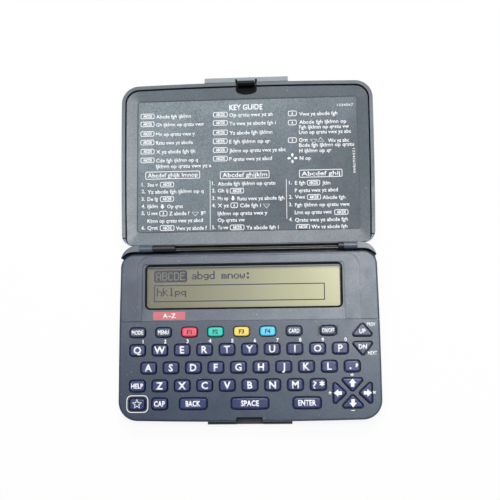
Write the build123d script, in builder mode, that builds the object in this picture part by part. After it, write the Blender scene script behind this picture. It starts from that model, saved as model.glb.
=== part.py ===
"""Electronic dictionary with a hinged lid, in millimetres.

The base lies on a table: +Z is up, +Y points from the keyboard to the hinge, +X to the right.
The origin is the middle of the base's underside. The lid is modelled open, flat behind the base,
and closes by turning half a turn about the hinge axis, which runs along X at (hinge_y, hinge_z).
"""

import os

from build123d import *

# ---- keyboard ---------------------------------------------------------------------------------
key_pitch = 10.83  # letter keys, centre to centre
row_pitch = 8.5  # rows, centre to centre
letter_columns = 10
row_count = 5
key_width = 7.3
key_depth = 5.35
slim_key_depth = 4.5  # keys of the top row
wide_key_width = 13.0  # back and enter
space_key_width = 17.6
slim_pitch = 12.6  # keys of the top row, centre to centre
power_key_gap = 16.25  # card key to power key, centre to centre
half_step = 5.4  # stagger of the second letter row
key_bow = 0.22  # how far a key's front and back edges bulge
key_corner = 1.25
key_edge = 0.75  # rounding of a key's top edge
key_height = 1.0  # above the deck
key_play = 0.3  # round each key in its opening
flange_width = 0.55  # the skirt that keeps a key in its opening
flange_thick = 0.8
flange_play = 0.25  # skirt to the underside of the deck

page_key_offset = 10.6  # last letter key to the page keys, centre to centre
page_key_width = 10.9
page_key_depth = 6.6
page_key_gap = 2.75  # between the two page keys
page_key_rise = 4.3  # page key pair's middle, above the first letter row
cursor_width = 11.7  # outer edge of a cursor key
cursor_depth = 6.3  # outer edge to point
cursor_split_x = 2.85  # point to the middle of the cross, side keys
cursor_split_y = 0.6  # point to the middle of the cross, other keys
cursor_drop = 4.05  # middle of the cross, in front of the third letter row
cursor_inset = 5.3  # middle of the cross, left of the page keys
triangle_corner = 0.9

back_key_offset = 16.15  # cap key to back key, centre to centre
space_key_offset = 27.1  # back key to space key, and space key to enter key
guard_width = 0.55  # ridges beside the power key
guard_height = 0.7
guard_gap = 0.5

# ---- plan of the base -------------------------------------------------------------------------
left_margin = 9.25  # left side to the first letter key's centre
right_margin = 8.6  # page keys' centre to the right side
front_margin = 8.75  # front edge to the last row's centre
groove_gap = 5.2  # first row's centre to the groove across the top
sill_depth = 6.0  # groove to the display opening
window_depth = 20.2
window_width = 95.0
window_back_gap = 6.9  # display opening to the back edge of the top case
hinge_gap = 2.65  # back edge of the top case to the hinge axis
window_shift = -2.65  # the display sits left of the middle
window_corner = 1.6
side_taper = 0.8  # the sides close in by this much towards the hinge
side_bow = 0.35
front_bow = 0.9
front_corner = 9.3
back_corner = 6.5
wall = 1.6
top_edge = 1.0  # rounding of the top case's edge
bottom_edge = 1.3  # chamfer round the underside

# ---- heights of the base ----------------------------------------------------------------------
floor_thick = 1.4
card_bay_height = 4.5
card_bay_roof = 0.9
board_gap = 0.3
board_thick = 1.0
mat_thick = 0.6
mat_margin = 0.8  # mat and board, inside the walls
mat_back_gap = 0.6  # mat to the groove across the deck
dome_height = 0.9
dome_play = 0.2
deck_thick = 1.3
split_height = 6.5  # where the two case halves meet

# ---- display ----------------------------------------------------------------------------------
field_sink = 0.45  # the display field tilts down to this depth at its back edge
field_side_gap = 8.2  # field to the side of the base
field_back_gap = 1.2  # field to the back edge of the top case
field_corner = 6.0
frame_side = 1.75  # sunk frame, beyond the display opening at each side
frame_back = 1.95  # and behind it
frame_sink = 1.0  # below the deck
frame_corner = 2.0
sill_rise = 0.6  # the sill in front of the display slopes up by this much
groove_width = 0.6
groove_depth = 0.8
lens_cover = 0.5  # frame floor over the lens
lens_lip = 2.0
lens_thick = 0.7
lens_play = 0.1
lcd_lip_x = 1.3
lcd_lip_y = 3.0
lcd_play = 0.1

# ---- hinge ------------------------------------------------------------------------------------
knuckle_radius = 1.65
pin_radius = 0.75
pin_length = 4.4
pin_play = 0.05
pin_end_play = 0.4
knuckle_play = 0.2  # between the lid's knuckles and the ears, along the axis
ear_start = 46.6  # inner face of each ear, from the middle
left_knuckle_length = 11.0
right_knuckle_length = 2.6
ear_clearance = 1.25  # groove between the top case and the ears
ear_corner = 8.0
ear_barrel_length = 6.6  # round part of each ear that holds a pin
hinge_drop = 0.2  # the axis lies this far below the deck
tail_height = 4.8  # the shelf under the open lid
rib_thick = 1.3  # wall between the knuckles
rib_offset = 0.45  # middle of that wall, in front of the axis
rib_drop = 0.3  # its top, below the axis
ear_top = 0.6  # top of the ears, above the axis

# ---- lid --------------------------------------------------------------------------------------
lid_reach = 83.5  # hinge axis to the lid's free edge
lid_side_inset = 0.25  # the lid is this much narrower than the base at each side
lid_height = 4.5
rim_play = 0.3  # closed rim to the deck
lid_corner = 8.8
lid_back_corner = 5.2
lid_back_edge = 1.9  # hinge axis to the lid's back wall beside the knuckles
lid_web_edge = 1.3  # and between the knuckles
liner_back_edge = 2.25  # hinge axis to the dished liner
rim_width = 1.7
seam_width = 0.65  # the groove inside the rim
seam_depth = 1.6
liner_drop = 0.9  # top of the dished liner, below the rim
guide_border = 5.2  # rim groove to the guide panel, at the sides
guide_free_border = 4.7  # and at the free edge
guide_back = 8.3  # hinge axis to the guide panel
guide_thick = 0.5
guide_play = 0.15
guide_corner = 1.4
guide_sink = 0.15  # guide panel below the liner's inner edge
lid_plate = 1.7  # lid's outer wall
lid_edge = 1.4  # rounding of the lid's outer edge

# ---- latch ------------------------------------------------------------------------------------
latch_width = 41.8
latch_bar_depth = 2.4
latch_bar_inset = 0.3  # bar's top and bottom inside the lid's height
latch_play = 0.2
latch_slot_half = 5.3
latch_slot_depth = 3.8  # how far the lid's slot reaches in from the free edge
latch_slot_corner = 2.2
hook_half = 4.3
hook_thick = 1.2
hook_reach = 2.9  # the hook stands this far above the lid's rim
barb_reach = 0.95
barb_height = 1.0
prong_offset = 13.0  # guide prongs, from the middle
prong_width = 3.0
prong_thick = 0.8
prong_length = 3.8
prong_drop = 2.6  # prongs' middle, below the lid's rim
notch_half = 6.25
notch_depth = 2.2
notch_floor = 4.6
catch_depth = 0.8  # pocket that the barb sits in
catch_top = 1.25  # solid deck over that pocket
catch_wall = 0.5
lip_width = 40.6
lip_depth = 1.4
lip_low = 1.6
lip_top = 6.3

# ---- battery bay, card bay, screws --------------------------------------------------------------
cell_radius = 10.0
cell_thick = 3.2
cell_play = 0.35
cell_headroom = 0.15
cell_inset = 14.5  # middle of the cells, from the base's left side
cell_shift_y = -3.25  # middle of the battery bay
bay_wall = 1.1
door_thick = 1.2
door_sink = 0.15
door_play = 0.15
door_border = 1.2  # the door's edge beyond the bay
door_runner = 0.8  # runners along the door's edges
runner_thick = 0.6
grip_ribs = 5
grip_pitch = 2.0
grip_length = 12.0
grip_depth = 0.35
card_bay_width = 56.0
card_bay_depth = 33.0
card_bay_front = 2.4  # front of the card bay, behind the middle of the base
connector_width = 40.0
connector_depth = 3.0
connector_drop = 3.6  # below the board
connector_play = 0.3
screw_head_radius = 1.6
screw_head_thick = 1.2
screw_radius = 0.8
screw_play = 0.1
screw_length = 5.6
recess_width = 0.5  # cross recess in the screw heads
recess_depth = 0.6
front_screw_shift = 0.5  # front screws, in front of the last row's centre
left_screw_inset = 6.6  # back screws, from the sides
right_screw_inset = 8.5
left_screw_shift = 6.5  # and behind the middle of the display
right_screw_shift = 3.0
boss_radius = 2.5
boss_drop = 0.8  # bosses end this far below the board
pillar_radius = 1.9
counterbore_depth = 2.4

# ---- worked out -------------------------------------------------------------------------------
rows_depth = (row_count - 1) * row_pitch
base_width = left_margin + (letter_columns - 1) * key_pitch + page_key_offset + right_margin
base_depth = (
    front_margin + rows_depth + groove_gap + sill_depth + window_depth + window_back_gap + hinge_gap
)
half_width = base_width / 2
front_y = -base_depth / 2
hinge_y = base_depth / 2
top_back_y = hinge_y - hinge_gap
groove_y = front_y + front_margin + rows_depth + groove_gap
window_front_y = groove_y + sill_depth
window_y = window_front_y + window_depth / 2
tail_y = hinge_y + knuckle_radius

board_z = card_bay_height + card_bay_roof + board_gap
mat_z = board_z + board_thick
dome_base_z = mat_z + mat_thick
dome_top_z = dome_base_z + dome_height
key_base_z = dome_top_z + dome_play
deck_low_z = key_base_z + flange_thick + flange_play
deck_z = deck_low_z + deck_thick
key_top_z = deck_z + key_height
hinge_z = deck_z - hinge_drop
frame_z = deck_z - frame_sink
lens_top_z = frame_z - lens_cover
lcd_top_z = lens_top_z - lens_thick - lcd_play
lcd_low_z = mat_z + lcd_play

rim_z = 2 * hinge_z - (deck_z + rim_play)  # the open lid's rim
lid_low_z = rim_z - lid_height
lid_free_y = hinge_y + lid_reach
lid_back_y = hinge_y + lid_back_edge
lid_half = half_width - lid_side_inset
liner_top_z = rim_z - liner_drop
guide_z = lid_low_z + lid_plate
liner_low_z = guide_z + guide_thick + guide_sink
liner_inset = rim_width + seam_width
guide_free_y = lid_free_y - front_bow - liner_inset - guide_free_border
guide_back_y = hinge_y + guide_back
guide_half = lid_half - liner_inset - guide_border

notch_wall_y = front_y + notch_depth
catch_y = notch_wall_y + catch_depth
block_back_y = catch_y + catch_wall
block_half = notch_half + bay_wall
cell_x = -half_width + cell_inset
cell_spots = [
    (cell_x, cell_shift_y + side * (cell_radius + cell_play / 2)) for side in (-1, 1)
]
bay_half_x = cell_radius + cell_play
bay_half_y = 2 * cell_radius + 1.5 * cell_play
cell_low_z = door_sink + door_thick + screw_play
card_bay_y = card_bay_front + card_bay_depth / 2
connector_y = card_bay_front + connector_play + connector_depth / 2
boss_top_z = board_z - boss_drop

os.makedirs("parts", exist_ok=True)


def column_x(column):
    """Centre of a letter column, counted from the left."""
    return -half_width + left_margin + column * key_pitch


def row_y(row):
    """Centre of a row of keys, counted from the display."""
    return front_y + front_margin + (row_count - 1 - row) * row_pitch


def plan_outline(hinge_end, back_y, free_y, half_back, half_free, back_radius, free_radius):
    """Plan of the base or the lid: bowed at the sides and the free edge, cut straight at back_y."""
    forward = free_y < hinge_end
    corner_y = free_y + front_bow if forward else free_y - front_bow
    side_y = (hinge_end + corner_y) / 2
    side_x = (half_back + half_free) / 2 + side_bow
    with BuildSketch(mode=Mode.PRIVATE) as outline:
        with BuildLine():
            Line((-half_back, hinge_end), (half_back, hinge_end))
            ThreePointArc((half_back, hinge_end), (side_x, side_y), (half_free, corner_y))
            ThreePointArc((half_free, corner_y), (0, free_y), (-half_free, corner_y))
            ThreePointArc((-half_free, corner_y), (-side_x, side_y), (-half_back, hinge_end))
        make_face()
        with Locations((0, back_y)):
            Rectangle(
                4 * half_free,
                4 * half_free,
                align=(Align.CENTER, Align.MIN if forward else Align.MAX),
                mode=Mode.SUBTRACT,
            )
        corners = outline.vertices().sort_by(Axis.Y, reverse=forward)
        fillet(corners[:2], back_radius)
        corners = outline.vertices().sort_by(Axis.Y, reverse=forward)
        fillet(corners[-2:], free_radius)
    return outline.sketch


def base_outline(back_y, inset=0.0, back_radius=back_corner):
    """Plan of the base with its back edge at back_y, shrunk by inset."""
    return plan_outline(
        tail_y + ear_clearance,
        back_y - inset,
        front_y + inset,
        half_width - side_taper - inset,
        half_width - inset,
        back_radius - inset,
        front_corner - inset,
    )


def lid_outline(back_y, inset=0.0, back_radius=lid_back_corner):
    """Plan of the open lid with its back edge at back_y, its other edges shrunk by inset."""
    return plan_outline(
        hinge_y,
        back_y,
        lid_free_y - inset,
        lid_half - side_taper - inset,
        lid_half - inset,
        back_radius,
        lid_corner - inset,
    )


def bar_outline(width, depth, grow):
    """A key with straight sides and bulging front and back edges."""
    half_w, half_d = width / 2 + grow, depth / 2 + grow
    flat = half_d - key_bow
    with BuildSketch(mode=Mode.PRIVATE) as outline:
        with BuildLine():
            Line((half_w, -flat), (half_w, flat))
            ThreePointArc((half_w, flat), (0, half_d), (-half_w, flat))
            Line((-half_w, flat), (-half_w, -flat))
            ThreePointArc((-half_w, -flat), (0, -half_d), (half_w, -flat))
        make_face()
        fillet(outline.vertices(), key_corner + grow)
    return outline.sketch


def triangle_outline(width, depth, grow):
    """A three-cornered key with its point at the back."""
    with BuildSketch(mode=Mode.PRIVATE) as outline:
        with BuildLine():
            Polyline(
                (-width / 2, -depth / 2), (width / 2, -depth / 2), (0, depth / 2), close=True
            )
        make_face()
        fillet(outline.vertices(), triangle_corner)
        if grow:
            offset(amount=grow)
    return outline.sketch


# ---- where each key stands ----------------------------------------------------------------------
page_x = column_x(letter_columns - 1) + page_key_offset
page_y = row_y(1) + page_key_rise
page_step = (page_key_depth + page_key_gap) / 2
cursor_x = page_x - cursor_inset
cursor_y = row_y(3) - cursor_drop
side_reach = cursor_split_x + cursor_depth / 2
end_reach = cursor_split_y + cursor_depth / 2
back_x = column_x(1) + back_key_offset
space_x = back_x + space_key_offset
power_x = column_x(0) + 6 * slim_pitch + power_key_gap

bar_keys = {}
for index, name in enumerate(["mode", "menu", "red", "green", "yellow", "blue", "card"]):
    bar_keys[name] = (column_x(0) + index * slim_pitch, row_y(0), key_width, slim_key_depth)
bar_keys["power"] = (power_x, row_y(0), key_width, slim_key_depth)
for index, name in enumerate("qwertyuiop"):
    bar_keys[name] = (column_x(index), row_y(1), key_width, key_depth)
for index, name in enumerate([*"asdfghjkl", "point"]):
    bar_keys[name] = (column_x(index) + half_step, row_y(2), key_width, key_depth)
for index, name in enumerate(["help", *"zxcvbnm", "query"]):
    bar_keys[name] = (column_x(index), row_y(3), key_width, key_depth)
bar_keys["star"] = (column_x(0), row_y(4), key_width, key_depth)
bar_keys["cap"] = (column_x(1), row_y(4), key_width, key_depth)
bar_keys["back"] = (back_x, row_y(4), wide_key_width, key_depth)
bar_keys["space"] = (space_x, row_y(4), space_key_width, key_depth)
bar_keys["enter"] = (space_x + space_key_offset, row_y(4), wide_key_width, key_depth)

triangle_keys = {
    "page_up": (page_x, page_y + page_step, page_key_width, page_key_depth, 0),
    "page_down": (page_x, page_y - page_step, page_key_width, page_key_depth, 180),
    "cursor_up": (cursor_x, cursor_y + end_reach, cursor_width, cursor_depth, 180),
    "cursor_down": (cursor_x, cursor_y - end_reach, cursor_width, cursor_depth, 0),
    "cursor_left": (cursor_x - side_reach, cursor_y, cursor_width, cursor_depth, -90),
    "cursor_right": (cursor_x + side_reach, cursor_y, cursor_width, cursor_depth, 90),
}
key_spots = [spot[:2] for spot in (*bar_keys.values(), *triangle_keys.values())]
pillar_x = (space_key_offset + (space_key_width - wide_key_width) / 2) / 2
screw_spots = [
    (space_x - pillar_x, row_y(4) - front_screw_shift),
    (space_x + pillar_x, row_y(4) - front_screw_shift),
    (-half_width + left_screw_inset, window_y + left_screw_shift),
    (half_width - right_screw_inset, window_y + right_screw_shift),
]


def key_outlines(grow):
    """Every key's outline in its place, by name, each edge moved out by grow."""
    outlines = {}
    for name, (x, y, width, depth) in bar_keys.items():
        outlines[name] = Pos(x, y) * bar_outline(width, depth, grow)
    for name, (x, y, width, depth, turn) in triangle_keys.items():
        outlines[name] = Pos(x, y) * Rot(Z=turn) * triangle_outline(width, depth, grow)
    return outlines


def write(part, name):
    """Labels a finished piece and writes its STEP file."""
    part.label = name
    export_step(part, f"parts/{name}.step")


# ---- keys: hard caps, each with a skirt that keeps it under the deck ----------------------------
skirts = key_outlines(flange_width)
for key_name, cap_outline in key_outlines(0.0).items():
    with BuildPart() as key:
        with BuildSketch(Plane.XY.offset(key_base_z)):
            add(cap_outline)
        extrude(amount=key_top_z - key_base_z)
        fillet(key.faces().sort_by(Axis.Z)[-1].edges(), key_edge)
        with BuildSketch(Plane.XY.offset(key_base_z)):
            add(skirts[key_name])
        extrude(amount=flange_thick)
    write(key.part, f"key_{key_name}")

# ---- keypad mat: a silicone sheet with a hollow dome under every key ----------------------------
dome_foot = 2.0
dome_crown = 1.3
dome_skin = 0.45
mat_back_y = groove_y - mat_back_gap
with BuildPart() as keypad_mat:
    with BuildSketch(Plane.XY.offset(mat_z)):
        add(base_outline(mat_back_y, wall + mat_margin))
        with Locations((0, front_y + (block_back_y - front_y) / 2)):
            Rectangle(
                2 * (block_half + mat_margin),
                block_back_y - front_y + 2 * board_gap,
                mode=Mode.SUBTRACT,
            )
        with Locations(*screw_spots[:2]):
            Circle(pillar_radius + board_gap, mode=Mode.SUBTRACT)
    extrude(amount=mat_thick)
    with Locations(*[(x, y, dome_base_z + dome_height / 2) for x, y in key_spots]):
        Cone(dome_foot, dome_crown, dome_height)
    hollow = mat_thick + dome_height - dome_skin
    with Locations(*[(x, y, mat_z + hollow / 2) for x, y in key_spots]):
        Cylinder(dome_crown - dome_skin, hollow, mode=Mode.SUBTRACT)
write(keypad_mat.part, "keypad_mat")

# ---- circuit board with its chips, card connector and battery contacts --------------------------
chips = [  # x, y, width, depth, height below the board
    (42.0, 14.0, 14.0, 14.0, 1.6),
    (42.0, -6.0, 18.0, 9.0, 1.4),
    (12.0, -16.0, 16.0, 8.0, 1.4),
    (-14.0, -16.0, 7.0, 3.0, 1.8),
    (50.0, -22.0, 6.0, 6.0, 2.6),
]
contact_width = 2.5
contact_length = 5.0
with BuildPart() as circuit_board:
    with BuildSketch(Plane.XY.offset(board_z)):
        add(base_outline(top_back_y, wall + mat_margin))
        with Locations((0, front_y + (block_back_y - front_y) / 2)):
            Rectangle(
                2 * (block_half + mat_margin),
                block_back_y - front_y + 2 * board_gap,
                mode=Mode.SUBTRACT,
            )
        with Locations(*screw_spots):
            Circle(pillar_radius + board_gap, mode=Mode.SUBTRACT)
    extrude(amount=board_thick)
    for x, y, width, depth, height in chips:
        with Locations((x, y, board_z)):
            Box(width, depth, height, align=(Align.CENTER, Align.CENTER, Align.MAX))
    with Locations((0, connector_y, board_z)):
        Box(
            connector_width,
            connector_depth,
            connector_drop,
            align=(Align.CENTER, Align.CENTER, Align.MAX),
        )
    contact_drop = board_z - (cell_low_z + cell_thick) - screw_play
    with Locations(*[(x, y, board_z) for x, y in cell_spots]):
        Box(
            contact_width,
            contact_length,
            contact_drop,
            align=(Align.CENTER, Align.CENTER, Align.MAX),
        )
write(circuit_board.part, "circuit_board")

# ---- display: the liquid-crystal panel and the clear window over it ------------------------------
with BuildPart() as lcd_panel:
    with BuildSketch(Plane.XY.offset(lcd_low_z)):
        with Locations((window_shift, window_y)):
            Rectangle(window_width + 2 * lcd_lip_x, window_depth + 2 * lcd_lip_y)
        with Locations(*screw_spots):
            Circle(pillar_radius + lcd_play, mode=Mode.SUBTRACT)
    extrude(amount=lcd_top_z - lcd_low_z)
write(lcd_panel.part, "lcd_panel")

with BuildPart() as display_window:
    with BuildSketch(Plane.XY.offset(lens_top_z - lens_thick)):
        with Locations((window_shift, window_y)):
            RectangleRounded(
                window_width + 2 * lens_lip, window_depth + 2 * lens_lip, window_corner
            )
    extrude(amount=lens_thick)
write(display_window.part, "display_window")

# ---- coin cells and the screws that hold the base together --------------------------------------
cell_edge = 0.4
cell_step = 1.0  # width of the sloped shoulder round the negative face
with BuildPart() as coin_cells:
    with Locations(*[(x, y, cell_low_z + cell_thick / 2) for x, y in cell_spots]):
        Cylinder(cell_radius, cell_thick)
    chamfer(coin_cells.edges().group_by(Axis.Z)[-1], cell_edge, cell_step)
write(coin_cells.part, "coin_cells")

head_low_z = counterbore_depth - screw_head_thick
with BuildPart() as screws:
    with Locations(*[(x, y, head_low_z) for x, y in screw_spots]):
        Cylinder(screw_head_radius, screw_head_thick, align=(Align.CENTER, Align.CENTER, Align.MIN))
    with Locations(*[(x, y, counterbore_depth) for x, y in screw_spots]):
        Cylinder(screw_radius, screw_length, align=(Align.CENTER, Align.CENTER, Align.MIN))
    with Locations(*[(x, y, head_low_z) for x, y in screw_spots]):
        for turn in (0, 90):
            Box(
                2 * screw_radius,
                recess_width,
                2 * recess_depth,
                rotation=(0, 0, turn),
                mode=Mode.SUBTRACT,
            )
write(screws.part, "screws")

# ---- top case: the deck with its key openings, the sunk display field and the side walls ---------
lens_pocket = lens_thick + lens_play
ceiling_z = lens_top_z - lens_pocket  # underside of the thick part round the display
with BuildPart() as top_case:
    with BuildSketch(Plane.XY.offset(split_height)):
        add(base_outline(top_back_y))
    extrude(amount=deck_z - split_height)
    fillet(top_case.faces().sort_by(Axis.Z)[-1].edges(), top_edge)
    with BuildSketch(Plane.XY.offset(split_height)):
        add(base_outline(top_back_y, wall))
    extrude(amount=deck_low_z - split_height, mode=Mode.SUBTRACT)
    # the thick part round the display, joined to the walls
    with BuildSketch(Plane.XY.offset(ceiling_z)):
        add(base_outline(top_back_y, wall / 2))
        with Locations((0, mat_back_y)):
            Rectangle(
                base_width, base_depth, align=(Align.CENTER, Align.MAX), mode=Mode.SUBTRACT
            )
    extrude(amount=deck_low_z - ceiling_z)
    # front block round the latch notch
    with BuildSketch(Plane.XY.offset(split_height)):
        add(base_outline(top_back_y, wall / 2))
        with Locations((0, block_back_y)):
            Rectangle(
                2 * block_half, base_depth, align=(Align.CENTER, Align.MAX), mode=Mode.INTERSECT
            )
    extrude(amount=deck_z - top_edge - split_height)
    # pillars that take the screws
    with Locations(*[(x, y, boss_top_z) for x, y in screw_spots]):
        Cylinder(
            pillar_radius,
            deck_low_z - boss_top_z,
            align=(Align.CENTER, Align.CENTER, Align.MIN),
        )
    with Locations(*[(x, y, boss_top_z) for x, y in screw_spots]):
        Cylinder(
            screw_radius + screw_play,
            counterbore_depth + screw_length + screw_play - boss_top_z,
            align=(Align.CENTER, Align.CENTER, Align.MIN),
            mode=Mode.SUBTRACT,
        )
    # key openings
    with BuildSketch(Plane.XY.offset(deck_low_z)):
        for opening in key_outlines(key_play).values():
            add(opening)
    extrude(amount=deck_thick, mode=Mode.SUBTRACT)
    # ridges beside the power key
    guard_step = key_width / 2 + key_play + guard_gap
    with Locations(*[(power_x + side * guard_step, row_y(0), deck_z) for side in (-1, 1)]):
        Box(
            guard_width,
            slim_key_depth,
            guard_height,
            align=(Align.CENTER, Align.CENTER, Align.MIN),
        )
    # groove across the deck
    with Locations((0, groove_y, deck_z)):
        Box(base_width + wall, groove_width, 2 * groove_depth, mode=Mode.SUBTRACT)
    # display opening with the seat for the window under it
    with BuildSketch(Plane.XY.offset(ceiling_z)):
        with Locations((window_shift, window_y)):
            RectangleRounded(
                window_width + 2 * (lens_lip + lens_play),
                window_depth + 2 * (lens_lip + lens_play),
                window_corner,
            )
    extrude(amount=lens_pocket, mode=Mode.SUBTRACT)
    with BuildSketch(Plane.XY.offset(ceiling_z)):
        with Locations((window_shift, window_y)):
            RectangleRounded(window_width, window_depth, window_corner)
    extrude(amount=deck_z - ceiling_z, mode=Mode.SUBTRACT)
    # latch notch with the pocket that its barb sits in
    with Locations((0, front_y - wall, deck_z)):
        Box(
            2 * notch_half,
            notch_depth + wall,
            2 * (deck_z - split_height),
            align=(Align.CENTER, Align.MIN, Align.CENTER),
            mode=Mode.SUBTRACT,
        )
    with Locations((0, front_y, deck_z - catch_top)):
        Box(
            2 * (hook_half + latch_play),
            notch_depth + catch_depth,
            deck_z - catch_top - split_height,
            align=(Align.CENTER, Align.MIN, Align.MAX),
            mode=Mode.SUBTRACT,
        )

# the display field tilts down towards the hinge, and a frame is sunk in it round the opening
field_back_y = top_back_y - field_back_gap
field_front_y = groove_y - groove_width / 2
field_half = half_width - side_taper - field_side_gap
air = 1.0  # how far cutting tools stand above the deck
with BuildPart() as field_tool:
    with BuildSketch(Plane.YZ.offset(-field_half)):
        with BuildLine():
            Polyline(
                (field_front_y, deck_z),
                (field_back_y, deck_z - field_sink),
                (field_back_y, deck_z + air),
                (field_front_y, deck_z + air),
                close=True,
            )
        make_face()
    extrude(amount=2 * field_half)
    fillet(
        field_tool.edges().filter_by(Axis.Z).group_by(Axis.Y)[-1],
        field_corner,
    )
frame_back_y = window_front_y + window_depth + frame_back
frame_half = window_width / 2 + frame_side
with BuildPart() as frame_tool:
    with BuildSketch(Plane.YZ.offset(window_shift - frame_half)):
        with BuildLine():
            Polyline(
                (field_front_y, frame_z + sill_rise),
                (window_front_y, frame_z),
                (frame_back_y, frame_z),
                (frame_back_y, deck_z + air),
                (field_front_y, deck_z + air),
                close=True,
            )
        make_face()
    extrude(amount=2 * frame_half)
    fillet(frame_tool.edges().filter_by(Axis.Z).group_by(Axis.Y)[-1], frame_corner)
with BuildPart() as finished_top_case:
    add(top_case.part)
    add(field_tool.part, mode=Mode.SUBTRACT)
    add(frame_tool.part, mode=Mode.SUBTRACT)
write(finished_top_case.part, "top_case")

# ---- bottom case: floor, walls, ears for the hinge, battery bay and card bay ---------------------
knuckle_left = (-ear_start, left_knuckle_length)
knuckle_right = (ear_start - right_knuckle_length, right_knuckle_length)
rib_start = -ear_start + left_knuckle_length + knuckle_play
rib_end = ear_start - right_knuckle_length - knuckle_play
door_half_y = bay_half_y + door_border
door_inner_x = cell_x + bay_half_x + door_border
runner_half_y = door_half_y + door_runner
runner_low_z = door_sink + door_thick - runner_thick
door_room_z = door_sink + door_thick + door_play
bay_roof_z = card_bay_height + card_bay_roof
with BuildPart() as bottom_case:
    with BuildSketch():
        add(base_outline(tail_y, back_radius=ear_corner))
    extrude(amount=hinge_z + ear_top)
    chamfer(bottom_case.faces().sort_by(Axis.Z)[0].edges(), bottom_edge)
    # room for the top case, which leaves the ears round the back corners
    with BuildSketch(Plane.XY.offset(split_height)):
        add(base_outline(top_back_y, -ear_clearance))
    extrude(amount=deck_z - split_height + ear_top, mode=Mode.SUBTRACT)
    # groove between the walls and the ears
    with BuildSketch(Plane.XY.offset(tail_height)):
        add(base_outline(top_back_y, -ear_clearance))
        add(base_outline(top_back_y), mode=Mode.SUBTRACT)
        with Locations((0, top_back_y - back_corner + wall / 4)):
            Rectangle(
                2 * base_width, base_depth, align=(Align.CENTER, Align.MIN), mode=Mode.INTERSECT
            )
    extrude(amount=split_height - tail_height, mode=Mode.SUBTRACT)
    # gap between the ears
    with Locations((0, top_back_y, tail_height)):
        Box(
            2 * ear_start,
            base_depth,
            deck_z,
            align=(Align.CENTER, Align.MIN, Align.MIN),
            mode=Mode.SUBTRACT,
        )
    with BuildSketch(Plane.XY.offset(floor_thick)):
        add(base_outline(top_back_y, wall))
    extrude(amount=split_height - floor_thick, mode=Mode.SUBTRACT)
    # wall between the lid's knuckles
    with Locations((rib_start, hinge_y - rib_offset, tail_height)):
        Box(
            rib_end - rib_start,
            rib_thick,
            hinge_z - rib_drop - tail_height,
            align=(Align.MIN, Align.CENTER, Align.MIN),
        )
    # round barrels on the ears, with the pin holes
    for side in (-1, 1):
        with BuildSketch(Plane.YZ.offset(side * ear_start)):
            with Locations((hinge_y, hinge_z)):
                Circle(knuckle_radius)
        extrude(amount=side * ear_barrel_length)
    with BuildSketch(Plane.YZ.offset(-ear_start - pin_length - pin_end_play)):
        with Locations((hinge_y, hinge_z)):
            Circle(pin_radius + pin_play)
    extrude(amount=2 * (ear_start + pin_length + pin_end_play), mode=Mode.SUBTRACT)
    # lip and notch for the latch
    with Locations((0, front_y - lip_depth, lip_low)):
        Box(
            lip_width,
            lip_depth + front_bow,
            lip_top - lip_low,
            align=(Align.CENTER, Align.MIN, Align.MIN),
        )
    with BuildSketch(Plane.XY.offset(floor_thick)):
        add(base_outline(top_back_y, wall / 2))
        with Locations((0, block_back_y)):
            Rectangle(
                2 * block_half, base_depth, align=(Align.CENTER, Align.MAX), mode=Mode.INTERSECT
            )
    extrude(amount=split_height - floor_thick)
    with Locations((0, front_y - lip_depth - wall, notch_floor)):
        Box(
            2 * notch_half,
            lip_depth + wall + notch_depth,
            split_height,
            align=(Align.CENTER, Align.MIN, Align.MIN),
            mode=Mode.SUBTRACT,
        )
    with Locations((0, front_y, notch_floor)):
        Box(
            2 * (hook_half + latch_play),
            notch_depth + catch_depth,
            split_height,
            align=(Align.CENTER, Align.MIN, Align.MIN),
            mode=Mode.SUBTRACT,
        )
    # walls of the battery bay and the card bay
    with BuildSketch(Plane.XY.offset(floor_thick)):
        add(base_outline(top_back_y, wall / 2))
        with Locations((door_inner_x + door_play + bay_wall, cell_shift_y)):
            Rectangle(
                base_width,
                2 * (runner_half_y + door_play + bay_wall),
                align=(Align.MAX, Align.CENTER),
                mode=Mode.INTERSECT,
            )
    extrude(amount=bay_roof_z - floor_thick)
    with Locations((0, card_bay_y, floor_thick)):
        Box(
            card_bay_width + 2 * bay_wall,
            card_bay_depth + 2 * bay_wall,
            bay_roof_z - floor_thick,
            align=(Align.CENTER, Align.CENTER, Align.MIN),
        )
    with Locations((cell_x, cell_shift_y, 0)):
        Box(
            2 * bay_half_x,
            2 * bay_half_y,
            cell_low_z + cell_thick + cell_headroom,
            align=(Align.CENTER, Align.CENTER, Align.MIN),
            mode=Mode.SUBTRACT,
        )
    with Locations((0, card_bay_y, 0)):
        Box(
            card_bay_width,
            card_bay_depth,
            card_bay_height,
            align=(Align.CENTER, Align.CENTER, Align.MIN),
            mode=Mode.SUBTRACT,
        )
    with Locations(*[(x, y, bay_roof_z) for x, y in cell_spots]):
        Box(
            contact_width + 2 * connector_play,
            contact_length + 2 * connector_play,
            card_bay_roof * 3,
            mode=Mode.SUBTRACT,
        )
    with Locations((0, connector_y, bay_roof_z)):
        Box(
            connector_width + 2 * connector_play,
            connector_depth + 2 * connector_play,
            card_bay_roof * 3,
            mode=Mode.SUBTRACT,
        )
    # opening for the battery door and the grooves that its runners slide in
    with Locations((door_inner_x + door_play, cell_shift_y, 0)):
        Box(
            base_width,
            2 * (door_half_y + door_play),
            door_room_z,
            align=(Align.MAX, Align.CENTER, Align.MIN),
            mode=Mode.SUBTRACT,
        )
    with Locations((door_inner_x + door_play, cell_shift_y, runner_low_z - door_play)):
        Box(
            base_width,
            2 * (runner_half_y + door_play),
            door_room_z - runner_low_z + door_play,
            align=(Align.MAX, Align.CENTER, Align.MIN),
            mode=Mode.SUBTRACT,
        )
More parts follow.
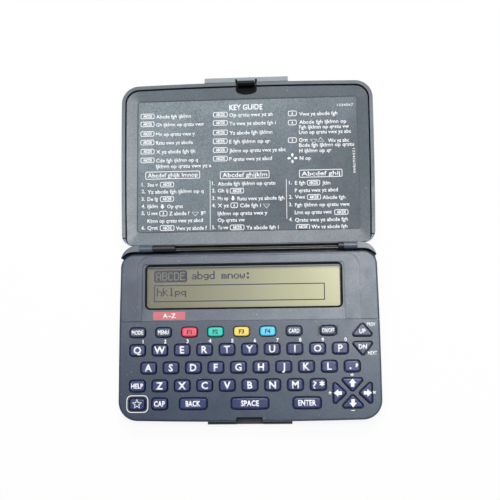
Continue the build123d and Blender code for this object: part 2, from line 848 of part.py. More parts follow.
    # bosses and counterbores for the screws
    with Locations(*[(x, y, floor_thick) for x, y in screw_spots]):
        Cylinder(
            boss_radius,
            boss_top_z - floor_thick,
            align=(Align.CENTER, Align.CENTER, Align.MIN),
        )
    with Locations(*[(x, y, 0) for x, y in screw_spots]):
        Cylinder(
            screw_head_radius + screw_play,
            counterbore_depth,
            align=(Align.CENTER, Align.CENTER, Align.MIN),
            mode=Mode.SUBTRACT,
        )
        Cylinder(
            screw_radius + screw_play,
            boss_top_z,
            align=(Align.CENTER, Align.CENTER, Align.MIN),
            mode=Mode.SUBTRACT,
        )
write(bottom_case.part, "bottom_case")

# ---- battery door: a plate with runners, drawn out through the left side -------------------------
with BuildPart() as battery_door:
    with BuildSketch(Plane.XY.offset(door_sink)):
        add(base_outline(tail_y, door_sink, back_radius=ear_corner))
        with Locations((door_inner_x, cell_shift_y)):
            Rectangle(
                base_width, 2 * door_half_y, align=(Align.MAX, Align.CENTER), mode=Mode.INTERSECT
            )
    extrude(amount=door_thick)
    chamfer(
        battery_door.faces().sort_by(Axis.Z)[0].edges().sort_by(Axis.X)[0],
        door_thick - door_play,
        door_thick - door_play,
    )
    with BuildSketch(Plane.XY.offset(runner_low_z)):
        with Locations((door_inner_x, cell_shift_y)):
            Rectangle(
                half_width - wall + door_inner_x,
                2 * runner_half_y,
                align=(Align.MAX, Align.CENTER),
            )
    extrude(amount=runner_thick)
    grip_span = (grip_ribs - 1) * grip_pitch
    with Locations((cell_x, cell_shift_y, door_sink)):
        with GridLocations(grip_pitch, 1, grip_ribs, 1):
            Box(
                grip_pitch / 2,
                grip_length,
                2 * grip_depth,
                mode=Mode.SUBTRACT,
            )
write(battery_door.part, "battery_door")

# ---- lid: one moulded shell with knuckles and hinge pins ------------------------------------------
slot_depth_z = rim_z - guide_z  # the latch slot goes down to the lid's outer wall
with BuildPart() as liner_tool:
    with BuildSketch(Plane.XY.offset(liner_top_z)):
        add(lid_outline(hinge_y + liner_back_edge, liner_inset, lid_back_corner - liner_inset))
    with BuildSketch(Plane.XY.offset(liner_low_z)):
        with Locations((0, (guide_free_y + guide_back_y) / 2)):
            RectangleRounded(2 * guide_half, guide_free_y - guide_back_y, guide_corner)
    loft(ruled=True)
    with BuildSketch(Plane.XY.offset(liner_top_z)):
        add(lid_outline(hinge_y + liner_back_edge, liner_inset, lid_back_corner - liner_inset))
    extrude(amount=liner_drop + air)
with BuildPart() as lid_shell:
    with BuildSketch(Plane.XY.offset(lid_low_z)):
        add(lid_outline(lid_back_y))
    extrude(amount=lid_height)
    fillet(lid_shell.faces().sort_by(Axis.Z)[0].edges(), lid_edge)
    # thin web that runs on between the ears
    with Locations((0, hinge_y + lid_web_edge, lid_low_z + lid_edge)):
        Box(
            2 * (ear_start - knuckle_play),
            lid_edge + lid_back_edge - lid_web_edge,
            lid_height - lid_edge,
            align=(Align.CENTER, Align.MIN, Align.MIN),
        )
    # knuckles, each joined to the web
    for start, length in (knuckle_left, knuckle_right):
        low = max(start, -ear_start + knuckle_play)
        high = min(start + length, ear_start - knuckle_play)
        with BuildSketch(Plane.YZ.offset(low)):
            with Locations((hinge_y, hinge_z)):
                Circle(knuckle_radius)
            with Locations((hinge_y, hinge_z)):
                Rectangle(
                    lid_back_edge + lid_edge,
                    knuckle_radius,
                    align=(Align.MIN, Align.MAX),
                )
        extrude(amount=high - low)
    # hinge pins
    for side in (-1, 1):
        with BuildSketch(Plane.YZ.offset(side * (ear_start - 2 * knuckle_play))):
            with Locations((hinge_y, hinge_z)):
                Circle(pin_radius)
        extrude(amount=side * (pin_length + 2 * knuckle_play))
    # dished liner and the recess for the guide panel
    add(liner_tool.part, mode=Mode.SUBTRACT)
    with BuildSketch(Plane.XY.offset(guide_z)):
        with Locations((0, (guide_free_y + guide_back_y) / 2)):
            RectangleRounded(2 * guide_half, guide_free_y - guide_back_y, guide_corner)
    extrude(amount=liner_low_z - guide_z, mode=Mode.SUBTRACT)
    # groove inside the rim
    with BuildSketch(Plane.XY.offset(rim_z - seam_depth)):
        add(lid_outline(hinge_y + liner_back_edge, rim_width, lid_back_corner - rim_width))
        add(
            lid_outline(hinge_y + liner_back_edge, liner_inset, lid_back_corner - liner_inset),
            mode=Mode.SUBTRACT,
        )
    extrude(amount=seam_depth, mode=Mode.SUBTRACT)
    # slot for the hook and pockets for the latch's prongs
    with BuildSketch(Plane.XY.offset(guide_z)):
        with Locations((0, lid_free_y - latch_slot_depth)):
            Rectangle(
                2 * latch_slot_half, latch_slot_depth + wall, align=(Align.CENTER, Align.MIN)
            )
        with Locations((0, lid_free_y - latch_slot_depth)):
            Ellipse(latch_slot_half, latch_slot_corner)
    extrude(amount=slot_depth_z, mode=Mode.SUBTRACT)
    prong_z = rim_z - prong_drop
    with Locations(*[(side * prong_offset, lid_free_y + wall, prong_z) for side in (-1, 1)]):
        Box(
            prong_width + 2 * latch_play,
            prong_length + latch_play + wall,
            prong_thick + 2 * door_play,
            align=(Align.CENTER, Align.MAX, Align.CENTER),
            mode=Mode.SUBTRACT,
        )
write(lid_shell.part, "lid_shell")

with BuildPart() as guide_panel:
    with BuildSketch(Plane.XY.offset(guide_z)):
        with Locations((0, (guide_free_y + guide_back_y) / 2)):
            RectangleRounded(
                2 * (guide_half - guide_play),
                guide_free_y - guide_back_y - 2 * guide_play,
                guide_corner - guide_play,
            )
    extrude(amount=guide_thick)
write(guide_panel.part, "guide_panel")

# ---- latch: a bar along the lid's free edge, with the hook and two guide prongs -------------------
bar_y = lid_free_y + latch_play
hook_y = lid_free_y - latch_play - hook_thick
root_low_z = guide_z + latch_play
with BuildPart() as latch:
    with Locations((0, bar_y, lid_low_z + latch_bar_inset)):
        Box(
            latch_width,
            latch_bar_depth,
            lid_height - 2 * latch_bar_inset,
            align=(Align.CENTER, Align.MIN, Align.MIN),
        )
    fillet(latch.faces().sort_by(Axis.Y)[-1].edges(), latch_bar_inset)
    with Locations((0, hook_y, root_low_z)):
        Box(
            2 * hook_half,
            bar_y - hook_y,
            rim_z - latch_bar_inset - root_low_z,
            align=(Align.CENTER, Align.MIN, Align.MIN),
        )
    with Locations((0, hook_y, root_low_z)):
        Box(
            2 * hook_half,
            hook_thick,
            rim_z + hook_reach - root_low_z,
            align=(Align.CENTER, Align.MIN, Align.MIN),
        )
    with BuildSketch(Plane.YZ.offset(-hook_half)):
        with BuildLine():
            Polyline(
                (hook_y, rim_z + hook_reach - barb_height),
                (hook_y - barb_reach, rim_z + hook_reach - barb_height),
                (hook_y, rim_z + hook_reach),
                close=True,
            )
        make_face()
    extrude(amount=2 * hook_half)
    with Locations(*[(side * prong_offset, bar_y, prong_z) for side in (-1, 1)]):
        Box(
            prong_width,
            prong_length,
            prong_thick,
            align=(Align.CENTER, Align.MAX, Align.CENTER),
        )
write(latch.part, "latch")
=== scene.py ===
import math

import bmesh
import bpy
from mathutils import Matrix, Vector


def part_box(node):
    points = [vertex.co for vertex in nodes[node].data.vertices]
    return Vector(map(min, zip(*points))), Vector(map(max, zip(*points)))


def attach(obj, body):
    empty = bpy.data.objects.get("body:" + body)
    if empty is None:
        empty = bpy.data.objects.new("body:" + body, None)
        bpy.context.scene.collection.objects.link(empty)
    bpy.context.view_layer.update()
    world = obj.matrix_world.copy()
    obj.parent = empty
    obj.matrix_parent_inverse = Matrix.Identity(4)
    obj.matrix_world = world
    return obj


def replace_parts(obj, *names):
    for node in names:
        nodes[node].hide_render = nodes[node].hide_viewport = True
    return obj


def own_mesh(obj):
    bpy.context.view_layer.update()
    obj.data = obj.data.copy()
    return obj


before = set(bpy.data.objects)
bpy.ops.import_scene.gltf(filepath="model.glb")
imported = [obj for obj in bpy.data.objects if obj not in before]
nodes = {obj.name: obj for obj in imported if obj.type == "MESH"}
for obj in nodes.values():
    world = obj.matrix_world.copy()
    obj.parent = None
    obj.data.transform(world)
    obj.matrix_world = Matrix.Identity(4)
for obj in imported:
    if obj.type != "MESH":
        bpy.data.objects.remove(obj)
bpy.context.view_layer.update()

mm = 0.001

# ---- Camera, lamps and floor --------------------------------------------------------------------
# A pale table seen from above. Three soft lamps hang over it, at the back, to the right and to the
# left, and a weak one at the front left opens the shadows. The table shows plain white and keeps
# the contact shadow.
camera_data = bpy.data.cameras.new("camera")
camera_data.lens = 60.7
camera_data.sensor_width = 36.0
camera_data.clip_start, camera_data.clip_end = 0.01, 10.0
camera = bpy.data.objects.new("camera", camera_data)
camera.location = (24.8 * mm, -13.85 * mm, 416.85 * mm)
camera.rotation_euler = [math.radians(angle) for angle in (7.554, 3.415, -0.606)]
bpy.context.collection.objects.link(camera)
bpy.context.scene.camera = camera
bpy.context.scene.view_settings.view_transform = "Standard"


def lamp(name, place, aim, size, power, tint):
    """A softbox, its width and height in size, at place that faces aim."""
    data = bpy.data.lights.new(name, "AREA")
    data.shape = "RECTANGLE"
    data.size, data.size_y, data.energy, data.color = *size, power, tint
    made = bpy.data.objects.new(name, data)
    made.location = place
    made.rotation_euler = (Vector(aim) - Vector(place)).to_track_quat("-Z", "Y").to_euler()
    bpy.context.collection.objects.link(made)


lamp("key_lamp", (0.12, 0.66, 0.86), (0.0, 0.04, 0.0), (0.34, 0.24), 4.0, (1.0, 0.99, 0.97))
lamp("top_lamp", (0.15, 0.20, 0.95), (0.02, 0.04, 0.0), (0.34, 0.24), 4.6, (1.0, 1.0, 1.0))
lamp("side_lamp", (-0.24, 0.19, 0.95), (0.02, 0.04, 0.0), (0.3, 0.2), 1.7, (0.97, 0.98, 1.0))
lamp("fill_lamp", (-0.55, -0.35, 0.55), (0.0, 0.04, 0.0), (0.7, 0.7), 0.4, (0.94, 0.97, 1.0))


def node(tree, kind, inputs=(), **settings):
    """A shader node with its settings; each input is a number, a colour or another node's output."""
    made = tree.nodes.new("ShaderNode" + kind)
    for setting, value in settings.items():
        setattr(made, setting, value)
    for socket, value in dict(inputs).items():
        if isinstance(value, bpy.types.NodeSocket):
            tree.links.new(value, made.inputs[socket])
        else:
            made.inputs[socket].default_value = value
    return made


def maths(tree, operation, *values):
    """The result of a Math node."""
    return node(tree, "Math", dict(enumerate(values)), operation=operation).outputs[0]


world = bpy.data.worlds.new("studio")
world.use_nodes = True
tree = world.node_tree
tree.nodes.clear()
rays = node(tree, "LightPath").outputs
seen = maths(tree, "MAXIMUM", rays["Is Camera Ray"], rays["Is Transmission Ray"])
room = node(tree, "Background", {"Color": (0.93, 0.96, 1.0, 1.0), "Strength": 0.22})
white = node(tree, "Background", {"Color": (1.0, 1.0, 1.0, 1.0), "Strength": 1.0})
air = node(tree, "MixShader", {0: seen, 1: room.outputs[0], 2: white.outputs[0]})
node(tree, "OutputWorld", {"Surface": air.outputs[0]})
bpy.context.scene.world = world

table_top = bmesh.new()
bmesh.ops.create_grid(table_top, x_segments=1, y_segments=1, size=1.6)
table_mesh = bpy.data.meshes.new("table_top")
table_top.to_mesh(table_mesh)
table_top.free()
paper = bpy.data.materials.new("white_paper")
paper.use_nodes = True
tree = paper.node_tree
tree.nodes.clear()
rays = node(tree, "LightPath").outputs
seen = maths(tree, "MAXIMUM", rays["Is Camera Ray"], rays["Is Glossy Ray"])
seen = maths(tree, "MAXIMUM", seen, rays["Is Transmission Ray"])
share = maths(tree, "MULTIPLY", seen, 0.9)
matt = node(tree, "BsdfDiffuse", {"Color": (0.86, 0.86, 0.86, 1.0)})
glow = node(tree, "Emission", {"Color": (1.0, 1.0, 1.0, 1.0), "Strength": 1.0})
mixed = node(tree, "MixShader", {0: share, 1: matt.outputs[0], 2: glow.outputs[0]})
node(tree, "OutputMaterial", {"Surface": mixed.outputs[0]})
table_mesh.materials.append(paper)
table = bpy.data.objects.new("table_top", table_mesh)
bpy.context.collection.objects.link(table)
table.location.z = -0.00005

# ---- Case halves --------------------------------------------------------------------------------
# The bottom case and the top case are injection-moulded ABS in slate blue. The mould is spark
# eroded, which leaves a fine even grain; years of handling polish it and leave a little dust.
deck_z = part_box("key_q")[1].z - 1.0 * mm
deck, parting = deck_z / mm, 6.5


def srgb(red, green, blue):
    """A display colour, 0 to 255, as Blender's linear colour."""
    def linear(value):
        value /= 255
        return value / 12.92 if value <= 0.04045 else ((value + 0.055) / 1.055) ** 2.4
    return (linear(red), linear(green), linear(blue), 1.0)


def shader_group(name, inputs, outputs):
    """An empty shader node group with its sockets."""
    group = bpy.data.node_groups.new(name, "ShaderNodeTree")
    for socket, kind in inputs.items():
        group.interface.new_socket(socket, in_out="INPUT", socket_type="NodeSocket" + kind)
    for socket, kind in outputs.items():
        group.interface.new_socket(socket, in_out="OUTPUT", socket_type="NodeSocket" + kind)
    return group, group.nodes.new("NodeGroupInput").outputs, group.nodes.new("NodeGroupOutput").inputs


def scaled(tree, value, low, high):
    """A 0 to 1 value spread over another range."""
    return node(tree, "MapRange", {"Value": value, "To Min": low, "To Max": high}).outputs["Result"]


def noise(tree, spot, scale, detail, roughness=0.5):
    """A 0 to 1 noise value at a place."""
    inputs = {"Vector": spot, "Scale": scale, "Detail": detail, "Roughness": roughness}
    return node(tree, "TexNoise", inputs).outputs[0]


def blend(tree, share, first, second):
    """A colour that goes from the first to the second with its share."""
    return node(tree, "Mix", {"Factor": share, 6: first, 7: second}, data_type="RGBA").outputs[2]


# Moulded grain: fine bumps, slow mottling of the colour, and patches polished by hands.
moulded_grain, given, put = shader_group(
    "moulded_grain",
    {"Color": "Color", "Grain": "Float", "Mottle": "Float", "Roughness": "Float", "Polish": "Float"},
    {"Color": "Color", "Roughness": "Float", "Height": "Float"},
)
spot = node(moulded_grain, "TexCoord").outputs["Object"]
fine = noise(moulded_grain, spot, given["Grain"], 2.0)
slow = noise(moulded_grain, spot, 45.0, 4.0)
worn = noise(moulded_grain, spot, 110.0, 5.0, roughness=0.6)
coarse = maths(moulded_grain, "MULTIPLY", given["Grain"], 0.45)
speckle = noise(moulded_grain, spot, coarse, 2.0)
tone = maths(moulded_grain, "SUBTRACT", slow, 0.5)
grit = maths(moulded_grain, "SUBTRACT", speckle, 0.5)
tone = maths(moulded_grain, "MULTIPLY_ADD", grit, 2.5, tone)
tone = maths(moulded_grain, "MULTIPLY_ADD", tone, given["Mottle"], 1.0)
lit = node(moulded_grain, "HueSaturation", {"Color": given["Color"], "Value": tone})
wear = maths(moulded_grain, "SUBTRACT", worn, 0.5)
gloss = maths(moulded_grain, "MULTIPLY_ADD", wear, given["Polish"], given["Roughness"])
moulded_grain.links.new(lit.outputs[0], put["Color"])
moulded_grain.links.new(gloss, put["Roughness"])
moulded_grain.links.new(fine, put["Height"])

# Dust: sparse pale specks with soft patches where they gather.
dust_specks, given, put = shader_group(
    "dust_specks", {"Color": "Color", "Amount": "Float"}, {"Color": "Color"}
)
spot = node(dust_specks, "TexCoord").outputs["Object"]
specks = node(dust_specks, "TexVoronoi", {"Vector": spot, "Scale": 420.0}).outputs["Distance"]
near = maths(dust_specks, "LESS_THAN", specks, 0.11)
patch = noise(dust_specks, spot, 70.0, 2.0)
gather = node(dust_specks, "MapRange", {"Value": patch, "From Min": 0.52, "From Max": 0.7})
amount = maths(dust_specks, "MULTIPLY", near, gather.outputs[0])
amount = maths(dust_specks, "MULTIPLY", amount, given["Amount"])
dust_specks.links.new(blend(dust_specks, amount, given["Color"], srgb(196, 200, 200)), put["Color"])

# Painted sheen: the colour pales slowly from Start to End along X, in uneven patches, as painted
# light where the lamps' reflections fall. Tilt turns that direction towards Y, about the middle of the lid.
painted_sheen_gradient, given, put = shader_group(
    "painted_sheen_gradient", {"Color": "Color", "Sheen_Color": "Color", "Start": "Float", "End": "Float", "Tilt": "Float"},
    {"Color": "Color"},
)
spot = node(painted_sheen_gradient, "TexCoord").outputs["Object"]
place = node(painted_sheen_gradient, "SeparateXYZ", {0: spot})
cloud = maths(painted_sheen_gradient, "SUBTRACT", noise(painted_sheen_gradient, spot, 28.0, 3.0), 0.5)
cloud = maths(painted_sheen_gradient, "MULTIPLY_ADD", cloud, 0.03, place.outputs["X"])
along = maths(painted_sheen_gradient, "SUBTRACT", place.outputs["Y"], 85 * mm)
cloud = maths(painted_sheen_gradient, "MULTIPLY_ADD", along, given["Tilt"], cloud)
sheened = node(
    painted_sheen_gradient, "MapRange", {"Value": cloud, "From Min": given["Start"], "From Max": given["End"]}
)
painted_sheen_gradient.links.new(blend(painted_sheen_gradient, sheened.outputs[0], given["Color"], given["Sheen_Color"]), put["Color"])


def finish_shader(tree, colour, roughness, height, depth, **sockets):
    """The surface shader with a bump of that depth in metres, joined to the material's output."""
    shader = node(tree, "BsdfPrincipled", {"Base Color": colour, "Roughness": roughness})
    if depth:
        bump = node(tree, "Bump", {"Height": height, "Distance": depth, "Strength": 1.0})
        tree.links.new(bump.outputs[0], shader.inputs["Normal"])
    for socket, value in sockets.items():
        shader.inputs[socket.replace("_", " ")].default_value = value
    node(tree, "OutputMaterial", {"Surface": shader.outputs[0]})


def new_material(name):
    """An empty node material."""
    made = bpy.data.materials.new(name)
    made.use_nodes = True
    made.node_tree.nodes.clear()
    return made


def moulded_skin(tree, colour, grain, mottle, roughness, polish):
    """The outputs of the moulded grain: Color, Roughness and Height."""
    inputs = {"Color": colour, "Grain": grain, "Mottle": mottle, "Roughness": roughness, "Polish": polish}
    return node(tree, "Group", inputs, node_tree=moulded_grain).outputs


def moulded_plastic(
    name, colour, grain=2600.0, mottle=0.16, roughness=0.42, polish=0.25, depth=0.00003, dust=0.5,
    gloss=0.5, painted_sheen=None, stains_and_painted_light=(),
):
    """Grained plastic with its mottling, wear and dust; painted_sheen holds a paler colour, Start, End and
    Tilt.

    Each entry of stains_and_painted_light is a colour, a real stain, painted shade or painted highlight,
    that is seen where the coordinates lie between limits in mm.
    """
    made = new_material(name)
    tree = made.node_tree
    if painted_sheen:
        painted_sheen = dict(zip(("Sheen_Color", "Start", "End", "Tilt"), painted_sheen))
        colour = node(tree, "Group", {"Color": colour, **painted_sheen}, node_tree=painted_sheen_gradient).outputs["Color"]
    skin = moulded_skin(tree, colour, grain, mottle, roughness, polish)
    dusted = node(tree, "Group", {"Color": skin["Color"], "Amount": dust}, node_tree=dust_specks)
    colour = dusted.outputs["Color"]
    spot = node(tree, "SeparateXYZ", {0: node(tree, "TexCoord").outputs["Object"]})
    for limits, patch_colour in stains_and_painted_light:
        share = 1.0
        for axis, (low, high) in limits.items():
            centre, reach = (low + high) / 2 * mm, (high - low) / 2 * mm
            near = maths(tree, "COMPARE", spot.outputs[axis], centre, reach)
            share = maths(tree, "MULTIPLY", share, near)
        colour = blend(tree, share, colour, patch_colour)
    finish_shader(tree, colour, skin["Roughness"], skin["Height"], depth, Specular_IOR_Level=gloss)
    return made


def wear_finish(name, material):
    """Gives a carried-over part its material."""
    slots = nodes[name].data.materials
    slots.clear()
    slots.append(material)


# The case plastic is painted paler towards the right as painted sheen, and paler on the hinge's
# barrels as painted highlight. The parting line shows as a thin dark step, and painted shade lies
# black in the hinge channel, in the latch notch, on the lip and on the power key's ridges.
case_plastic = moulded_plastic(
    "slate_case_plastic", srgb(43, 57, 77), grain=2400.0, mottle=0.3, roughness=0.33, polish=0.26,
    dust=0.45, painted_sheen=(srgb(72, 85, 100), -0.105, 0.015, 0.5),
    stains_and_painted_light=(
        ({"Z": (parting - 0.1, parting + 0.1)}, srgb(26, 30, 38)),
        # Painted shade in the hinge channel, painted highlight on the barrels of the ears, and painted
        # shade in the latch notch, on the lip and on the ridges beside the power key.
        ({"Y": (39.3, 43.3), "Z": (0.3, 10.3)}, srgb(12, 15, 20)),
        ({"Y": (40.2, 60.0), "Z": (10.3, 15.0)}, srgb(80, 90, 103)),
        ({"X": (-6.5, 6.5), "Y": (-60.0, -38.7), "Z": (4.4, deck - 0.2)}, srgb(10, 12, 15)),
        ({"Y": (-60.0, -41.95), "Z": (1.0, deck)}, srgb(24, 29, 37)),
        ({"Y": (-2.0, 4.5), "Z": (deck + 0.1, deck + 2.0)}, srgb(16, 18, 24)),
    ),
)
wear_finish("bottom_case", case_plastic)
wear_finish("top_case", case_plastic)

# ---- Circuit board ------------------------------------------------------------------------------
# A glass-fibre board under green solder mask with tinned traces; the chips, the card connector and
# the battery contacts are black mouldings and tinned leaves below it.
board_low = 5.7 * mm
board_finish = new_material("circuit_board")
tree = board_finish.node_tree
coords = node(tree, "TexCoord").outputs["Object"]
spot = node(tree, "SeparateXYZ", {0: coords})
traces = node(
    tree, "TexBrick",
    {"Vector": coords, "Color1": srgb(18, 84, 52), "Color2": srgb(24, 98, 60),
     "Mortar": srgb(66, 148, 92), "Scale": 240.0, "Mortar Size": 0.06, "Brick Width": 1.6,
     "Row Height": 0.35},
)
weave = noise(tree, coords, 1800.0, 2.0)
below = maths(tree, "LESS_THAN", spot.outputs["Z"], board_low)
tone = blend(tree, below, traces.outputs["Color"], srgb(24, 25, 27))
finish_shader(tree, tone, scaled(tree, weave, 0.3, 0.55), weave, 0.00002)
wear_finish("circuit_board", board_finish)

# ---- Keypad mat ---------------------------------------------------------------------------------
# A sheet of grey silicone with a hollow dome under each key, and a carbon pill that hangs in each
# dome and closes a contact. The sheet is the mat cut off at its face; a dome and its pill are
# pieces of their own.
mat_rubber = moulded_plastic(
    "silicone_mat", srgb(150, 152, 156), grain=900.0, mottle=0.1, roughness=0.62, polish=0.1, dust=0.2
)
carbon = moulded_plastic("carbon_pills", srgb(30, 30, 32), roughness=0.7, polish=0.1, dust=0.0)
dome_low = 7.3 * mm
key_names = [name for name in sorted(nodes) if name.startswith("key_")]


def join_shape(bm, shape):
    """Adds the shape's faces to bm and frees it."""
    mesh = bpy.data.meshes.new("shape")
    shape.to_mesh(mesh)
    shape.free()
    bm.from_mesh(mesh)
    bpy.data.meshes.remove(mesh)


def box_top(name):
    """The middle of a carried-over part's box as seen from above, and the height of its top."""
    low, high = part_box(name)
    return (low.x + high.x) / 2, (low.y + high.y) / 2, high.z


def new_piece(name, bm, material, body):
    """Makes bm an object that moves with a body."""
    mesh = bpy.data.meshes.new(name)
    bm.to_mesh(mesh)
    bm.free()
    mesh.materials.append(material)
    made = bpy.data.objects.new(name, mesh)
    bpy.context.collection.objects.link(made)
    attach(made, body)
    return made


sheet = bmesh.new()
sheet.from_mesh(nodes["keypad_mat"].data)
bmesh.ops.remove_doubles(sheet, verts=sheet.verts, dist=0.001 * mm)
cut = bmesh.ops.bisect_plane(
    sheet, geom=sheet.verts[:] + sheet.edges[:] + sheet.faces[:], plane_co=(0, 0, dome_low + 0.005 * mm),
    plane_no=(0, 0, 1), clear_outer=True,
)
bmesh.ops.triangle_fill(
    sheet, use_beauty=True, edges=[part for part in cut["geom_cut"] if isinstance(part, bmesh.types.BMEdge)]
)
bmesh.ops.recalc_face_normals(sheet, faces=sheet.faces)
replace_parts(new_piece("mat_sheet", sheet, mat_rubber, "base"), "keypad_mat")

# Half the dome's section, as distance from its middle and height, in mm.
dome_section = [(0.0, 7.75), (0.85, 7.75), (0.85, 7.31), (2.0, 7.31), (1.3, 8.2), (0.0, 8.2)]
for name in key_names:
    x, y, _ = box_top(name)
    dome = bmesh.new()
    points = [dome.verts.new((x + out * mm, y, z * mm)) for out, z in dome_section]
    edges = [dome.edges.new(pair) for pair in zip(points, points[1:])]
    bmesh.ops.spin(
        dome, geom=points + edges, cent=(x, y, 0), axis=(0, 0, 1), angle=math.tau, steps=24, use_merge=True
    )
    bmesh.ops.remove_doubles(dome, verts=dome.verts, dist=0.001 * mm)
    pill = bmesh.new()
    bmesh.ops.create_cone(
        pill, cap_ends=True, segments=16, radius1=0.7 * mm, radius2=0.7 * mm, depth=0.25 * mm,
        matrix=Matrix.Translation((x, y, 7.55 * mm)),
    )
    for shape, kind, finish in ((dome, "dome", mat_rubber), (pill, "pill", carbon)):
        bmesh.ops.recalc_face_normals(shape, faces=shape.faces)
        made = new_piece(f"{name}_{kind}", shape, finish, "base")
        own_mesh(made)

# ---- Keys ---------------------------------------------------------------------------------------
# Hard caps in navy ABS with softly bulging edges, a few in slate and four in clear colours, painted
# dark as painted shade where they meet the deck. Each one has its letter pad-printed in white ink
# on the top, and rides up and down in its own opening.
# Painted shade: everything of a cap below the deck's edge is coloured near black.
key_gap_painted_shade = ({"Z": (0.0, deck + 0.3)}, srgb(14, 15, 20))
cap_look = dict(grain=3600.0, mottle=0.12, polish=0.22, depth=0.000012, dust=0.35, stains_and_painted_light=[key_gap_painted_shade])
navy = moulded_plastic("navy_key_caps", srgb(39, 51, 99), roughness=0.30, **cap_look)
slate_cap = moulded_plastic("slate_key_caps", srgb(56, 68, 94), roughness=0.32, **cap_look)
slate_keys = ("mode", "menu", "card", "power", "page_up", "page_down")
cap_colours = {
    "red": srgb(228, 76, 98),
    "green": srgb(20, 200, 178),
    "yellow": srgb(236, 212, 98),
    "blue": srgb(84, 202, 236),
}
colour_caps = {
    name: moulded_plastic(
        f"{name}_key_cap", colour, grain=3600.0, mottle=0.08, roughness=0.30, polish=0.2, depth=0.00001,
        dust=0.3, stains_and_painted_light=[key_gap_painted_shade],
    )
    for name, colour in cap_colours.items()
}
for name in key_names:
    key = name[4:]
    wear_finish(name, colour_caps.get(key, slate_cap if key in slate_keys else navy))

ink_thick = 0.02 * mm


def flecked_finish(name, colours, scale, detail, roughness, depth=0.0, **sockets):
    """A finish whose colour, roughness and bump drift between two values each."""
    made = new_material(name)
    tree = made.node_tree
    drift = noise(tree, node(tree, "TexCoord").outputs["Object"], scale, detail)
    tone = blend(tree, drift, *colours)
    finish_shader(tree, tone, scaled(tree, drift, *roughness), drift, depth, **sockets)
    return made


def printing_ink(name, *colours):
    """Pad-printing ink: matt, slightly uneven, rubbed thin here and there."""
    return flecked_finish(name, colours, 1300.0, 3.0, (0.4, 0.6), depth=0.000005)


white_ink = printing_ink("white_ink", srgb(255, 255, 255), srgb(236, 240, 244))
dark_ink = printing_ink("dark_ink", srgb(84, 66, 70), srgb(110, 90, 92))


def letter_mesh(text, weight):
    """Flat lettering as a mesh, its capitals about 0.7 high, starting at the origin."""
    curve = bpy.data.curves.new("lettering", "FONT")
    curve.body, curve.offset, curve.resolution_u = text, weight, 2
    typed = bpy.data.objects.new("lettering", curve)
    mesh = bpy.data.meshes.new_from_object(typed)
    bpy.data.objects.remove(typed)
    bpy.data.curves.remove(curve)
    return mesh


def spread(mesh, axis):
    """Lowest and highest coordinate of a mesh along an axis."""
    values = [vertex.co[axis] for vertex in mesh.vertices]
    return min(values), max(values)


capital_height = spread(letter_mesh("H", 0.0), 1)[1]


def lettering(bm, text, height, x, y, z, weight=0.02, width=None, start=False, turn=0.0):
    """Adds flat lettering in bm, centred on (x, y) or starting at x; width fits it to a length."""
    mesh = letter_mesh(text, weight)
    low, high = spread(mesh, 0)
    size = height / capital_height
    across = width / (high - low) if width else size
    shift = -low if start else -(low + high) / 2
    mesh.transform(Matrix.Translation((shift, -capital_height / 2, 0)))
    mesh.transform(Matrix.Diagonal((across, size, 1, 1)))
    mesh.transform(Matrix.Translation((x, y, z)) @ Matrix.Rotation(turn, 4, "Z"))
    bm.from_mesh(mesh)
    bpy.data.meshes.remove(mesh)


def place_shape(bm, shape, x, y, z, turn=0.0):
    """Turns a shape about Z, moves it by (x, y, z), adds its faces to bm and frees it."""
    moved = Matrix.Translation((x, y, z)) @ Matrix.Rotation(turn, 4, "Z")
    bmesh.ops.transform(shape, matrix=moved, verts=shape.verts)
    join_shape(bm, shape)


def keep_outline(shape, line, even=False):
    """Cuts the inside out of a flat shape and leaves a border of that line width."""
    bmesh.ops.inset_region(
        shape, faces=shape.faces[:], thickness=line, use_boundary=True, use_even_offset=even
    )
    inside = max(shape.faces, key=lambda face: face.calc_area())
    bmesh.ops.delete(shape, geom=[inside], context="FACES_ONLY")


def rounded_plate(bm, x, y, z, width, depth, radius, line=0.0):
    """Adds a flat rounded rectangle to bm, or only its outline of that line width."""
    shape = bmesh.new()
    bmesh.ops.create_grid(shape, x_segments=1, y_segments=1, size=0.5)
    bmesh.ops.scale(shape, vec=(width, depth, 1), verts=shape.verts)
    bmesh.ops.bevel(
        shape, geom=shape.verts[:], offset=radius, affect="VERTICES", segments=5, profile=0.5, material=-1
    )
    if line:
        keep_outline(shape, line, even=True)
    place_shape(bm, shape, x, y, z)


def bold_arrow(bm, x, y, z, size, turn):
    """Adds a bold arrow that points to +Y before its turn."""
    shape = bmesh.new()
    bmesh.ops.create_circle(shape, cap_ends=True, segments=3, radius=0.5)
    bmesh.ops.scale(shape, vec=(1.1, 0.75, 1), verts=shape.verts)
    base = min(vertex.co.y for vertex in shape.verts)
    bmesh.ops.translate(shape, vec=(0, 0.02 - base, 0), verts=shape.verts)
    stem = bmesh.ops.create_grid(shape, x_segments=1, y_segments=1, size=0.5)["verts"]
    bmesh.ops.scale(shape, vec=(0.44, 0.46, 1), verts=stem)
    bmesh.ops.translate(shape, vec=(0, -0.21, 0), verts=stem)
    bmesh.ops.scale(shape, vec=(size, size, 1), verts=shape.verts)
    place_shape(bm, shape, x, y, z, turn)


def star_outline(bm, x, y, z, radius, line):
    """Adds a five-pointed star drawn with a line."""
    shape = bmesh.new()
    points = bmesh.ops.create_circle(shape, cap_ends=True, segments=10, radius=radius)["verts"]
    bmesh.ops.scale(shape, vec=(0.45, 0.45, 1), verts=points[1::2])
    keep_outline(shape, line)
    place_shape(bm, shape, x, y, z)


def inked_piece(name, bm, ink, body, offset):
    """Makes flat print an object whose ink is thickened below its faces, or above them at 1."""
    layer = new_piece(name, bm, ink, body).modifiers.new("ink_layer", "SOLIDIFY")
    layer.thickness, layer.offset = ink_thick, offset


